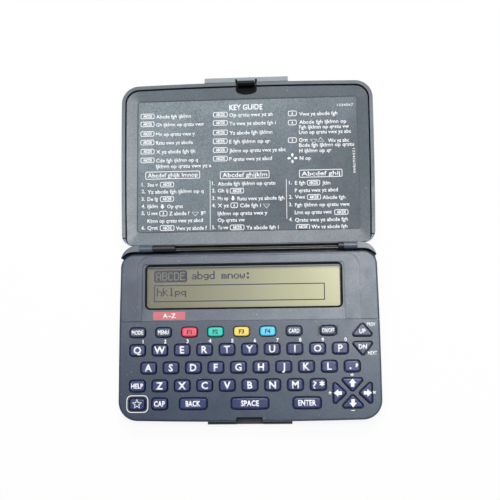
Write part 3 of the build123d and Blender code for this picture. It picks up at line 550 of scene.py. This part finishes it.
def printed_piece(name, bm, ink, body):
    """Makes flat print an object with a thin layer of ink that rises from its height."""
    bm.normal_update()
    bmesh.ops.reverse_faces(bm, faces=[face for face in bm.faces if face.normal.z < 0])
    bmesh.ops.translate(bm, vec=(0, 0, ink_thick), verts=bm.verts)
    inked_piece(name, bm, ink, body, -1.0)


# Words on keys: the text, the height of its capitals and the width of the whole word, in mm.
key_words = {
    "mode": ("MODE", 1.9, 5.6), "menu": ("MENU", 1.9, 5.2), "card": ("CARD", 1.9, 5.2),
    "power": ("ON/OFF", 1.9, 5.9), "red": ("F1", 1.9, 2.4), "green": ("F2", 1.9, 2.6),
    "yellow": ("F3", 1.9, 2.6), "blue": ("F4", 1.9, 2.6), "help": ("HELP", 2.2, 5.9),
    "cap": ("CAP", 2.5, 5.4), "back": ("BACK", 2.5, 7.2), "space": ("SPACE", 2.5, 8.6),
    "enter": ("ENTER", 2.5, 8.6), "page_up": ("UP", 2.1, 3.1), "page_down": ("DN", 2.1, 4.0),
}
word_shift = {"page_up": -0.75, "page_down": 0.75}
cursor_turns = {"cursor_up": 0, "cursor_left": 90, "cursor_down": 180, "cursor_right": 270}
for name in key_names:
    key = name[4:]
    x, y, z = box_top(name)
    legend = bmesh.new()
    if len(key) == 1:
        lettering(legend, key.upper(), 3.25 * mm, x, y, z, weight=0.032)
    elif key in key_words:
        word, height, width = key_words[key]
        y += word_shift.get(key, 0.0) * mm
        lettering(legend, word, height * mm, x, y, z, weight=0.04, width=width * mm)
    elif key in cursor_turns:
        turn = math.radians(cursor_turns[key])
        outward = Matrix.Rotation(turn, 3, "Z") @ Vector((0, 0.55 * mm, 0))
        bold_arrow(legend, x + outward.x, y + outward.y, z, 3.7 * mm, turn)
    elif key == "star":
        star_outline(legend, x, y, z, 2.5 * mm, 0.4 * mm)
    elif key == "point":
        rounded_plate(legend, x - 0.9 * mm, y - 1.0 * mm, z, 0.8 * mm, 0.8 * mm, 0.3 * mm)
        lettering(legend, ",", 3.6 * mm, x + 2.1 * mm, y + 2.1 * mm, z, weight=0.06)
    else:
        lettering(legend, "?", 3.3 * mm, x - 1.7 * mm, y - 0.2 * mm, z, weight=0.012, width=1.9 * mm)
        for third in range(3):
            bar = bmesh.new()
            rounded_plate(bar, 0.0, 0.0, 0.004 * mm * third, 2.5 * mm, 0.6 * mm, 0.1 * mm)
            place_shape(legend, bar, x + 1.75 * mm, y + 0.5 * mm, z, math.radians(30 + 60 * third))
    printed_piece(f"{name}_legend", legend, dark_ink if key in cap_colours else white_ink, name)

# ---- Display ------------------------------------------------------------------------------------
# A reflective liquid-crystal panel in grey green under a clear acrylic window. Its dots are square,
# with a hair of space between them, and set two lines of plain alphabet, the second in a box.
dot = 0.494 * mm
lcd_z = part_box("lcd_panel")[1].z

lcd_finish = new_material("liquid_crystal_panel")
tree = lcd_finish.node_tree
coords = node(tree, "TexCoord").outputs["Object"]
spot = node(tree, "SeparateXYZ", {0: coords})
# Painted reflection: the panel's colour runs from dark on the left to pale on the right.
sheen = node(tree, "MapRange", {"Value": spot.outputs["X"], "From Min": -50 * mm, "From Max": 46 * mm})
tint = node(tree, "ValToRGB", {"Fac": sheen.outputs[0]})
tint.color_ramp.elements[0].color = srgb(98, 93, 73)
tint.color_ramp.elements[1].color = srgb(208, 206, 166)
middle = tint.color_ramp.elements.new(0.5)
middle.color = srgb(156, 155, 127)
lines = []
for axis in ("X", "Y"):
    step = maths(tree, "FRACT", maths(tree, "DIVIDE", spot.outputs[axis], dot))
    lines.append(maths(tree, "LESS_THAN", step, 0.14))
grid = maths(tree, "MULTIPLY", maths(tree, "MAXIMUM", *lines), 0.12)
lined = blend(tree, grid, tint.outputs[0], srgb(222, 222, 200))
rough = scaled(tree, noise(tree, coords, 240.0, 3.0), 0.5, 0.65)
finish_shader(tree, lined, rough, None, 0.0, Specular_IOR_Level=0.1)
wear_finish("lcd_panel", lcd_finish)

dot_rows = {
    "A": "01110 10001 10001 10001 11111 10001 10001 10001",
    "B": "11110 10001 10001 11110 10001 10001 10001 11110",
    "C": "01110 10001 10000 10000 10000 10000 10001 01110",
    "D": "11110 10001 10001 10001 10001 10001 10001 11110",
    "E": "11111 10000 10000 11110 10000 10000 10000 11111",
    "a": "00000 00000 00000 01110 00001 01111 10001 01111",
    "b": "10000 10000 10000 11110 10001 10001 10001 11110",
    "d": "00001 00001 00001 01111 10001 10001 10001 01111",
    "g": "00000 00000 00000 01111 10001 10001 01111 00001 01110",
    "h": "10000 10000 10000 11110 10001 10001 10001 10001",
    "k": "10000 10000 10010 10100 11000 10100 10010 10001",
    "l": "01100 00100 00100 00100 00100 00100 00100 01110",
    "m": "00000 00000 00000 11010 10101 10101 10101 10101",
    "n": "00000 00000 00000 11110 10001 10001 10001 10001",
    "o": "00000 00000 00000 01110 10001 10001 10001 01110",
    "p": "00000 00000 00000 11110 10001 10001 11110 10000 10000",
    "q": "00000 00000 00000 01111 10001 10001 01111 00001 00001",
    "w": "00000 00000 00000 10001 10001 10101 10101 01010",
    ":": "00000 00000 01100 01100 00000 00000 01100 01100",
}


def lit_dots(text):
    """Columns and rows, from the top left, of the dots that a line of text turns on."""
    return {
        (6 * place + column, row)
        for place, letter in enumerate(text)
        for row, bits in enumerate(dot_rows.get(letter, "").split())
        for column, bit in enumerate(bits)
        if bit == "1"
    }


def show_dots(bm, dots, x, y, width=0.96):
    """Adds one small plate for each dot, the first column and row at (x, y)."""
    for column, row in sorted(dots):
        made = bmesh.ops.create_grid(bm, x_segments=1, y_segments=1, size=0.5)["verts"]
        bmesh.ops.scale(bm, vec=(width * dot, 0.96 * dot, 1), verts=made)
        bmesh.ops.translate(bm, vec=(x + column * dot, y - row * dot, lcd_z), verts=made)


# A word cut out of a dark block without its corner dots, then lines of lit dots and a box.
shown = bmesh.new()
word = {(column + 2, row + 2) for column, row in lit_dots("ABCDE")}
last_column, last_row = 32, 11
block = {(column, row) for column in range(last_column + 1) for row in range(last_row + 1)}
block -= {(column, row) for column in (0, last_column) for row in (0, last_row)}
show_dots(shown, block - word, -46.0 * mm, 31.0 * mm)
show_dots(shown, lit_dots("abgd mnow:"), -27.6 * mm, 30.4 * mm, width=1.3)
show_dots(shown, lit_dots("hklpq"), -44.6 * mm, 22.3 * mm, width=1.3)
rounded_plate(shown, -4.6 * mm, 19.9 * mm, lcd_z, 83.4 * mm, 8.3 * mm, 0.1 * mm, line=0.48 * mm)
crystal_ink = flecked_finish(
    "lit_crystal", (srgb(12, 15, 66), srgb(20, 23, 74)), 300.0, 2.0, (0.5, 0.65), Specular_IOR_Level=0.1
)
printed_piece("display_dots", shown, crystal_ink, "base")

# A black foam frame keeps dust off the panel; its dark edge inside the window is also painted shade from
# the window's walls.
foam = bmesh.new()
rounded_plate(foam, -2.65 * mm, 22.75 * mm, lcd_z, 97.0 * mm, 23.3 * mm, 2.6 * mm, line=1.5 * mm)
foam_and_shade_black = moulded_plastic(
    "black_foam_and_shade", srgb(20, 20, 20), mottle=0.3, roughness=0.8, polish=0.1, dust=0.1, gloss=0.1
)
printed_piece("dust_frame_and_shade", foam, foam_and_shade_black, "base")

# A thin black gasket lies round the window; its wider strip at the back is painted shade from the frame's
# wall.
gasket = bmesh.new()
gasket_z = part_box("display_window")[1].z + 0.51 * mm
rounded_plate(gasket, -2.4 * mm, 22.95 * mm, gasket_z, 96.2 * mm, 22.2 * mm, 2.6 * mm, line=0.9 * mm)
rounded_plate(gasket, -2.4 * mm, 33.3 * mm, gasket_z + 0.004 * mm, 94.4 * mm, 0.9 * mm, 0.05 * mm)
printed_piece("window_gasket_and_shade", gasket, foam_and_shade_black, "base")

clear_acrylic = new_material("clear_acrylic")
tree = clear_acrylic.node_tree
smears = noise(tree, node(tree, "TexCoord").outputs["Object"], 60.0, 4.0)
finish_shader(tree, srgb(214, 216, 208), scaled(tree, smears, 0.04, 0.16), None, 0.0, Alpha=0.05)
wear_finish("display_window", clear_acrylic)

# ---- Print on the deck --------------------------------------------------------------------------
# White pad printing on the flat deck: a number over each key of the upper letter row, small words
# and signs beside the page and cursor keys, and a ring round the star key with painted shade inside.
deck_print = bmesh.new()
for index, key in enumerate("qwertyuiop"):
    x, y, _ = box_top(f"key_{key}")
    number = str((index + 1) % 10)
    lettering(deck_print, number, 1.7 * mm, x + 2.6 * mm, y + 4.15 * mm, deck_z, weight=0.045)
lettering(deck_print, "PREV", 1.6 * mm, 58.7 * mm, 3.6 * mm, deck_z, weight=0.035, width=4.2 * mm)
lettering(deck_print, "NEXT", 1.6 * mm, 58.9 * mm, -10.0 * mm, deck_z, weight=0.035, width=4.3 * mm)
for sign, x, y in (("÷", 49.0, -20.2), ("+", 38.4, -28.6), ("×", 59.2, -28.6), ("–", 49.0, -36.6)):
    lettering(deck_print, sign, 1.9 * mm, x * mm, y * mm, deck_z, weight=0.05)
x, y, _ = box_top("key_star")
rounded_plate(deck_print, x, y, deck_z, 10.5 * mm, 8.2 * mm, 2.3 * mm, line=0.4 * mm)
printed_piece("deck_print", deck_print, white_ink, "base")
# Painted shade fills the ring between its line and the star key.
star_ring_shade = bmesh.new()
rounded_plate(star_ring_shade, x, y, deck_z, 9.8 * mm, 7.5 * mm, 2.0 * mm, line=0.6 * mm)
ring_shade_ink = printing_ink("ring_shade_ink", srgb(18, 28, 46), srgb(30, 40, 58))
printed_piece("star_ring_shade", star_ring_shade, ring_shade_ink, "base")

# Painted shadow lies black on the deck round every key, in a line along the edge of its opening.
shade_and_joint_black = moulded_plastic(
    "black_shade_and_joints", srgb(16, 18, 22), mottle=0.4, roughness=0.9, polish=0.1, dust=0.3, gloss=0.1
)
shadow_width, shadow_depth = 0.2 * mm, 0.006 * mm
openings_front, openings_back = -38.0 * mm, 4.3 * mm
deck_top = bmesh.new()
deck_top.from_mesh(nodes["top_case"].data)
bmesh.ops.remove_doubles(deck_top, verts=deck_top.verts, dist=0.0005 * mm)
deck_top.normal_update()
opening_edges, outward = [], {}
for edge in deck_top.edges:
    if all(
        abs(end.co.z - deck_z) < 0.01 * mm and openings_front < end.co.y < openings_back
        for end in edge.verts
    ):
        floors = [face for face in edge.link_faces if face.normal.z > 0.9]
        walls = [face for face in edge.link_faces if abs(face.normal.z) < 0.3]
        if floors and walls:
            opening_edges.append(edge.verts)
            for end in edge.verts:
                outward[end] = outward.get(end, Vector()) - walls[0].normal
key_gap_shadow = bmesh.new()
for start, end in opening_edges:
    inner = [start.co, end.co]
    outer = [corner.co + outward[corner].normalized() * shadow_width for corner in (end, start)]
    key_gap_shadow.faces.new([key_gap_shadow.verts.new(place - Vector((0, 0, shadow_depth))) for place in inner + outer])
deck_top.free()
bmesh.ops.remove_doubles(key_gap_shadow, verts=key_gap_shadow.verts, dist=0.0005 * mm)
printed_piece("key_gap_shadow", key_gap_shadow, shade_and_joint_black, "base")

# ---- Badge in front of the display --------------------------------------------------------------
# A red foil plate stuck on the sloping sill, with the first and last letter of the alphabet.
sill_y, sill_z, sill_slope = 5.8 * mm, 10.35 * mm, -0.0952


def lay_on_sill(bm):
    """Tilts flat print at z 0 down the slope of the sill."""
    slope = Matrix.Identity(4)
    slope[2][1], slope[2][3] = sill_slope, sill_z - sill_slope * sill_y
    bmesh.ops.transform(bm, matrix=slope, verts=bm.verts)


badge = bmesh.new()
rounded_plate(badge, -38.5 * mm, 8.9 * mm, 0.0, 15.6 * mm, 3.9 * mm, 0.25 * mm)
lay_on_sill(badge)
red_foil = moulded_plastic(
    "red_foil", srgb(188, 62, 76), grain=1800.0, mottle=0.1, roughness=0.3, polish=0.2, depth=0.000006,
    dust=0.3,
)
printed_piece("badge_plate", badge, red_foil, "base")
badge_print = bmesh.new()
lettering(badge_print, "A–Z", 2.1 * mm, -38.5 * mm, 8.9 * mm, ink_thick, weight=0.02, width=6.4 * mm)
lay_on_sill(badge_print)
printed_piece("badge_letters", badge_print, white_ink, "base")

# ---- Screws and coin cells ----------------------------------------------------------------------
# Four steel screws with cross recesses hold the case halves; two steel coin cells feed the board.
steel = flecked_finish(
    "plated_steel", (srgb(176, 178, 182), srgb(206, 207, 208)), 900.0, 4.0, (0.22, 0.42),
    depth=0.000006, Metallic=1.0,
)
wear_finish("screws", steel)
wear_finish("coin_cells", steel)

# ---- Card bay -----------------------------------------------------------------------------------
# Gilt leaves stand out of the card connector at the front of the bay. A paper label with plain
# numbers and bars is stuck to the roof and reads from below.
leaf_count, leaf_pitch = 20, 1.9 * mm


def rounded_block(bm, size, radius, place):
    """Adds a block with rounded edges to bm."""
    block = bmesh.new()
    bmesh.ops.create_cube(block, size=1.0)
    bmesh.ops.scale(block, vec=size, verts=block.verts)
    bmesh.ops.bevel(
        block, geom=block.edges[:], offset=radius, affect="EDGES", segments=2, profile=0.5, material=-1
    )
    bmesh.ops.translate(block, vec=place, verts=block.verts)
    join_shape(bm, block)


leaves = bmesh.new()
for index in range(leaf_count):
    place = ((index - (leaf_count - 1) / 2) * leaf_pitch, 4.2 * mm, board_low - 3.62 * mm)
    rounded_block(leaves, (0.9 * mm, 2.1 * mm, 0.24 * mm), 0.06 * mm, place)
gilt = flecked_finish(
    "gilt", (srgb(214, 168, 84), srgb(236, 200, 122)), 1500.0, 3.0, (0.2, 0.4), depth=0.000004, Metallic=1.0
)
new_piece("card_contacts", leaves, gilt, "base")


def turn_over(bm, z):
    """Turns flat work at z 0 face down about the X axis and brings it to z."""
    bmesh.ops.transform(bm, matrix=Matrix.Rotation(math.pi, 4, "X"), verts=bm.verts)
    bmesh.ops.translate(bm, vec=(0, 0, z), verts=bm.verts)


bay_roof, label_y, label_thick = 4.5 * mm, 21.0 * mm, 0.05 * mm
label = bmesh.new()
rounded_plate(label, 0.0, -label_y, 0.0, 38.0 * mm, 13.0 * mm, 0.6 * mm)
turn_over(label, bay_roof - label_thick)
bmesh.ops.solidify(label, geom=label.faces[:], thickness=-label_thick)
label_paper = moulded_plastic(
    "label_paper", srgb(206, 208, 206), grain=1800.0, mottle=0.1, roughness=0.6, polish=0.1,
    depth=0.00001, dust=0.2,
)
new_piece("bay_label", label, label_paper, "base")
label_print = bmesh.new()
for index in range(30):
    wide = 0.7 if index % 2 else 0.25
    rounded_plate(
        label_print, (index * 0.95 - 13.8) * mm, 3.0 * mm - label_y, 0.0, wide * mm, 3.2 * mm, 0.02 * mm
    )
lettering(label_print, "1234567890", 1.7 * mm, 0.0, -0.4 * mm - label_y, 0.0, width=16.0 * mm)
lettering(label_print, "2 × 3 V", 1.5 * mm, 0.0, -3.6 * mm - label_y, 0.0)
turn_over(label_print, bay_roof - 2 * label_thick)
label_ink = printing_ink("label_ink", srgb(34, 34, 38), srgb(60, 60, 64))
inked_piece("label_print", label_print, label_ink, "base", 1.0)

# ---- Battery door -------------------------------------------------------------------------------
# A plate of the same slate plastic with moulded runners and finger ribs; it slides out to the left.
wear_finish("battery_door", case_plastic)
door_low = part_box("battery_door")[0].z
door_mark = bmesh.new()
bold_arrow(door_mark, -56.0 * mm, -3.25 * mm, door_low - ink_thick, 3.4 * mm, math.radians(90))
printed_piece("door_arrow", door_mark, white_ink, "battery_door")

# ---- Lid ----------------------------------------------------------------------------------------
# One slate moulding with a raised rim, a dished liner and hinge knuckles, painted paler than the
# case's slate as painted light. Handling polishes the rim; the left and the hinge side are painted
# paler still as painted sheen, and the knuckles are painted dark as painted shade.
lid_plastic = moulded_plastic(
    "slate_lid_plastic", srgb(70, 81, 91), grain=2400.0, mottle=0.35, roughness=0.40, polish=0.28, dust=0.4,
    painted_sheen=(srgb(109, 118, 126), 0.045, -0.06, 1.6), stains_and_painted_light=[({"Y": (30.0, 43.9)}, srgb(28, 33, 40))],
)
wear_finish("lid_shell", lid_plastic)

# Painted shade lies black on the floor of the groove inside the rim, and dark marks lie in the joint across
# the rim.
rim_z, groove_depth = 10.05 * mm, 1.6 * mm
groove_floor = bmesh.new()
groove_floor.from_mesh(nodes["lid_shell"].data)
level = rim_z - groove_depth
elsewhere = [
    face for face in groove_floor.faces if any(abs(end.co.z - level) > 0.02 * mm for end in face.verts)
]
bmesh.ops.delete(groove_floor, geom=elsewhere, context="FACES")
for side in (-1, 1):
    rounded_plate(groove_floor, side * 61.1 * mm, 47.4 * mm, rim_z, 1.5 * mm, 0.5 * mm, 0.1 * mm)
printed_piece("groove_shade_and_ticks", groove_floor, shade_and_joint_black, "lid")

# ---- Guide panel --------------------------------------------------------------------------------
# A thin sheet with a coarser, glittering grain glued into the liner, screen-printed in white with
# headings, key outlines and lines of plain alphabet in place of instructions.
guide_low, guide_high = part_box("guide_panel")
guide_x, guide_y, guide_z = box_top("guide_panel")
# The sheet is painted paler towards the left and the lid's free edge as painted sheen.
guide_sheet = moulded_plastic(
    "guide_sheet", srgb(62, 75, 86), grain=5000.0, mottle=0.9, roughness=0.5, polish=0.2, depth=0.00005,
    dust=0.5, painted_sheen=(srgb(114, 127, 135), 0.045, -0.06, -1.4),
)
wear_finish("guide_panel", guide_sheet)

# Lines of text: start, middle height and length, in mm.
guide_lines = [
    (-45.8, 109.3, 17.7), (-45.8, 105.1, 24.3), (-45.8, 100.2, 19.7), (-45.8, 95.8, 18.7),
    (-45.7, 91.2, 20.1), (-45.7, 86.7, 21.1), (-45.7, 83.7, 27.8), (-8.8, 109.2, 22.0),
    (-8.8, 104.8, 23.4), (-8.8, 100.0, 21.6), (-8.9, 95.5, 20.6), (-8.9, 90.9, 28.1),
    (-8.9, 86.6, 21.3), (26.2, 108.8, 19.1), (26.1, 104.6, 23.5), (26.1, 102.0, 24.8),
    (26.0, 99.4, 25.8), (25.9, 95.5, 4.5), (40.3, 94.9, 10.4), (25.9, 92.8, 27.2),
    (25.9, 90.0, 16.1), (26.1, 86.2, 5.6), (-50.0, 74.5, 5.3), (-50.0, 70.8, 28.2),
    (-50.0, 67.2, 5.4), (-49.9, 63.5, 5.3), (-40.1, 63.3, 8.0), (-49.9, 60.0, 5.3),
    (-39.1, 59.7, 10.3), (-23.1, 59.5, 2.4), (-49.9, 56.1, 27.7), (-49.9, 52.7, 5.3),
    (-35.6, 52.2, 15.4), (-14.8, 74.1, 28.7), (-14.8, 70.7, 5.3), (-14.8, 66.8, 5.3),
    (-5.0, 66.5, 23.2), (-14.9, 63.2, 5.7), (-3.8, 63.0, 10.4), (-14.9, 59.2, 24.7),
    (-14.9, 55.9, 13.5), (-14.9, 52.2, 5.3), (-0.9, 51.9, 16.2), (23.5, 73.8, 5.2),
    (36.9, 73.5, 4.1), (23.4, 70.0, 21.2), (23.4, 66.7, 5.2), (36.9, 66.2, 11.3),
    (23.3, 62.7, 27.0), (23.2, 59.0, 18.2), (23.2, 55.2, 25.9), (31.2, 51.7, 17.6),
]
# Drawn keys: left edge, middle height and width, in mm.
guide_keys = [
    (-53.6, 109.7, 7.0), (-53.6, 105.6, 7.0), (-53.6, 100.6, 7.0), (-53.6, 96.2, 7.0),
    (-53.5, 91.5, 7.0), (-53.5, 87.0, 7.0), (-16.9, 109.6, 7.3), (-16.9, 105.3, 7.3),
    (-17.0, 100.4, 7.4), (-17.0, 95.9, 7.3), (-17.0, 91.4, 7.3), (-17.0, 87.0, 7.3),
    (20.7, 109.2, 4.3), (20.6, 104.5, 4.3), (20.5, 95.5, 4.3), (-43.6, 74.4, 7.0),
    (-43.6, 67.1, 7.0), (-43.6, 52.5, 7.2), (-43.9, 59.8, 4.0), (-8.7, 70.5, 7.0),
    (-8.4, 63.2, 3.6), (-8.8, 52.1, 7.1), (29.5, 73.7, 6.4), (29.4, 66.5, 6.8),
    (42.6, 58.7, 6.8), (23.7, 51.7, 6.8),
]
# Step numbers of the three columns: left edge and middle height, in mm.
guide_steps = [
    [(-52.9, 74.7), (-52.9, 71.2), (-52.9, 67.3), (-52.8, 63.6), (-52.8, 60.1), (-52.8, 52.8)],
    [(-17.6, 74.5), (-17.6, 70.8), (-17.6, 67.0), (-17.7, 63.3), (-17.7, 52.3)],
    [(20.6, 74.0), (20.5, 66.8), (20.4, 63.0), (20.3, 55.5)],
]
alphabet = "abcde fgh ijklmn op qrstu vwx yz "


def alphabet_line(turn, length):
    """A run of the alphabet in word lengths, starting at a different letter each time."""
    start = 7 * turn % len(alphabet)
    run = (alphabet * 3)[start:start + max(2, round(length / 1.13))].strip()
    return run[0].upper() + run[1:]


# Painted shade: a dark line round the sheet's edge, where it sits in its recess.
sheet_edge = bmesh.new()
sheet_width, sheet_depth, _ = guide_high - guide_low
rounded_plate(
    sheet_edge, guide_x, guide_y, guide_z, sheet_width - 0.1 * mm, sheet_depth - 0.1 * mm, 1.9 * mm,
    line=0.32 * mm,
)
edge_shade_ink = printing_ink("edge_shade_ink", srgb(46, 52, 58), srgb(66, 74, 80))
printed_piece("guide_edge_shade", sheet_edge, edge_shade_ink, "lid")

guide_print = bmesh.new()
lettering(guide_print, "1234567", 1.2 * mm, 49.2 * mm, 112.9 * mm, guide_z, weight=0.0, width=8.0 * mm)
lettering(
    guide_print, "1234567890", 1.1 * mm, 52.9 * mm, 84.4 * mm, guide_z, weight=0.0, width=12.5 * mm,
    turn=math.radians(-90),
)
lettering(guide_print, "KEY GUIDE", 2.7 * mm, -0.4 * mm, 113.1 * mm, guide_z, weight=0.035, width=16.8 * mm)
for turn, (x, y, length) in enumerate(guide_lines):
    lettering(
        guide_print, alphabet_line(turn, length), 1.8 * mm, x * mm, y * mm, guide_z,
        weight=0.026, width=length * mm, start=True,
    )
for turn, (x, y, width) in enumerate(guide_keys):
    middle = x + width / 2
    rounded_plate(
        guide_print, middle * mm, y * mm, guide_z, width * mm, 2.7 * mm, 0.8 * mm, line=0.3 * mm
    )
    mark, mark_width = ("ABCDE", 4.4) if width > 5 else ("A", 1.0)
    lettering(
        guide_print, mark, 1.4 * mm, middle * mm, y * mm, guide_z, weight=0.05, width=mark_width * mm
    )
for steps in guide_steps:
    for number, (x, y) in enumerate(steps, 1):
        lettering(guide_print, f"{number}.", 1.75 * mm, x * mm, y * mm, guide_z, weight=0.03, start=True)
# Headings in boxes, rules between the columns, arrows, and triangles for the page keys, in mm.
for left, low, right, high, words in (
    (-51.0, 76.9, -23.6, 81.4, "Abcdef ghijk lmnop"),
    (-13.6, 76.3, 11.0, 80.7, "Abcdef ghijklm"),
    (25.7, 76.2, 47.0, 80.5, "Abcdef ghij"),
):
    x, y = (left + right) / 2, (low + high) / 2
    rounded_plate(
        guide_print, x * mm, y * mm, guide_z, (right - left) * mm, 3.9 * mm, 0.7 * mm, line=0.3 * mm
    )
    lettering(
        guide_print, words, 2.1 * mm, x * mm, y * mm, guide_z, weight=0.02, width=(right - left - 2.2) * mm
    )
for x, low, high in ((-18.55, 51.1, 76.0), (19.3, 55.8, 75.8)):
    rounded_plate(
        guide_print, x * mm, (low + high) / 2 * mm, guide_z, 0.24 * mm, (high - low) * mm, 0.05 * mm
    )
for x, y in ((-42.4, 63.4), (-7.2, 66.8)):
    bold_arrow(guide_print, x * mm, y * mm, guide_z, 2.3 * mm, math.pi)
for quarter in range(4):
    turn = math.radians(90 * quarter)
    out = Matrix.Rotation(turn, 3, "Z") @ Vector((0, 1.6, 0))
    bold_arrow(guide_print, (22.5 + out.x) * mm, (86.3 + out.y) * mm, guide_z, 1.7 * mm, turn)
for x, y, turn in ((33.2, 95.0, 180), (36.7, 95.2, 0), (-26.0, 59.5, 180), (9.4, 62.8, 180)):
    page = bmesh.new()
    bmesh.ops.create_circle(page, cap_ends=True, segments=3, radius=1.9 * mm)
    bmesh.ops.scale(page, vec=(1.05, 0.75, 1), verts=page.verts)
    keep_outline(page, 0.28 * mm)
    place_shape(guide_print, page, x * mm, y * mm, guide_z, math.radians(turn))
printed_piece("guide_print", guide_print, white_ink, "lid")

# ---- Latch --------------------------------------------------------------------------------------
# A slate bar along the lid's free edge; its hook, coloured near black, reaches through the lid's slot.
lid_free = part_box("lid_shell")[1].y
latch_plastic = new_material("latch_plastic")
tree = latch_plastic.node_tree
spot = node(tree, "SeparateXYZ", {0: node(tree, "TexCoord").outputs["Object"]})
bar = maths(tree, "GREATER_THAN", spot.outputs["Y"], lid_free + 0.1 * mm)
skin = moulded_skin(tree, srgb(144, 153, 158), 2400.0, 0.14, 0.40, 0.28)
tone = blend(tree, bar, srgb(16, 17, 20), skin["Color"])
finish_shader(tree, tone, skin["Roughness"], skin["Height"], 0.00003, Specular_IOR_Level=0.15)
wear_finish("latch", latch_plastic)

# Painted shade: a black plate fills the floor of the slot behind the hook, and two small black
# blocks sit at the ends of the hook where it passes through the bar, where the slot is in shade.
slot_shade_plate = bmesh.new()
bmesh.ops.create_grid(slot_shade_plate, x_segments=1, y_segments=1, size=0.5)
bmesh.ops.scale(slot_shade_plate, vec=(10.3 * mm, 4.6 * mm, 1), verts=slot_shade_plate.verts)
bmesh.ops.bevel(
    slot_shade_plate, geom=[vertex for vertex in slot_shade_plate.verts if vertex.co.y < 0], offset=2.2 * mm,
    affect="VERTICES", segments=6, profile=0.5, material=-1,
)
raised = bmesh.ops.extrude_face_region(slot_shade_plate, geom=slot_shade_plate.faces[:])["geom"]
bmesh.ops.translate(
    slot_shade_plate, vec=(0, 0, 0.9 * mm), verts=[part for part in raised if isinstance(part, bmesh.types.BMVert)]
)
bmesh.ops.translate(slot_shade_plate, vec=(0, lid_free - 3.35 * mm, guide_z - 0.45 * mm), verts=slot_shade_plate.verts)
bmesh.ops.recalc_face_normals(slot_shade_plate, faces=slot_shade_plate.faces)
slot_shade_black = moulded_plastic(
    "black_slot_shade", srgb(12, 13, 16), mottle=0.1, roughness=0.6, polish=0.1, depth=0.00001, dust=0.1,
    gloss=0.1,
)
new_piece("latch_slot_shade", slot_shade_plate, slot_shade_black, "lid")
bar_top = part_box("latch")[1].z - 3.2 * mm
slot_end_shades = bmesh.new()
for side in (-1, 1):
    place = (side * 4.95 * mm, lid_free + 0.95 * mm, bar_top - 0.45 * mm)
    rounded_block(slot_end_shades, (1.0 * mm, 1.5 * mm, 1.2 * mm), 0.15 * mm, place)
new_piece("hook_slot_shades", slot_end_shades, slot_shade_black, "latch")
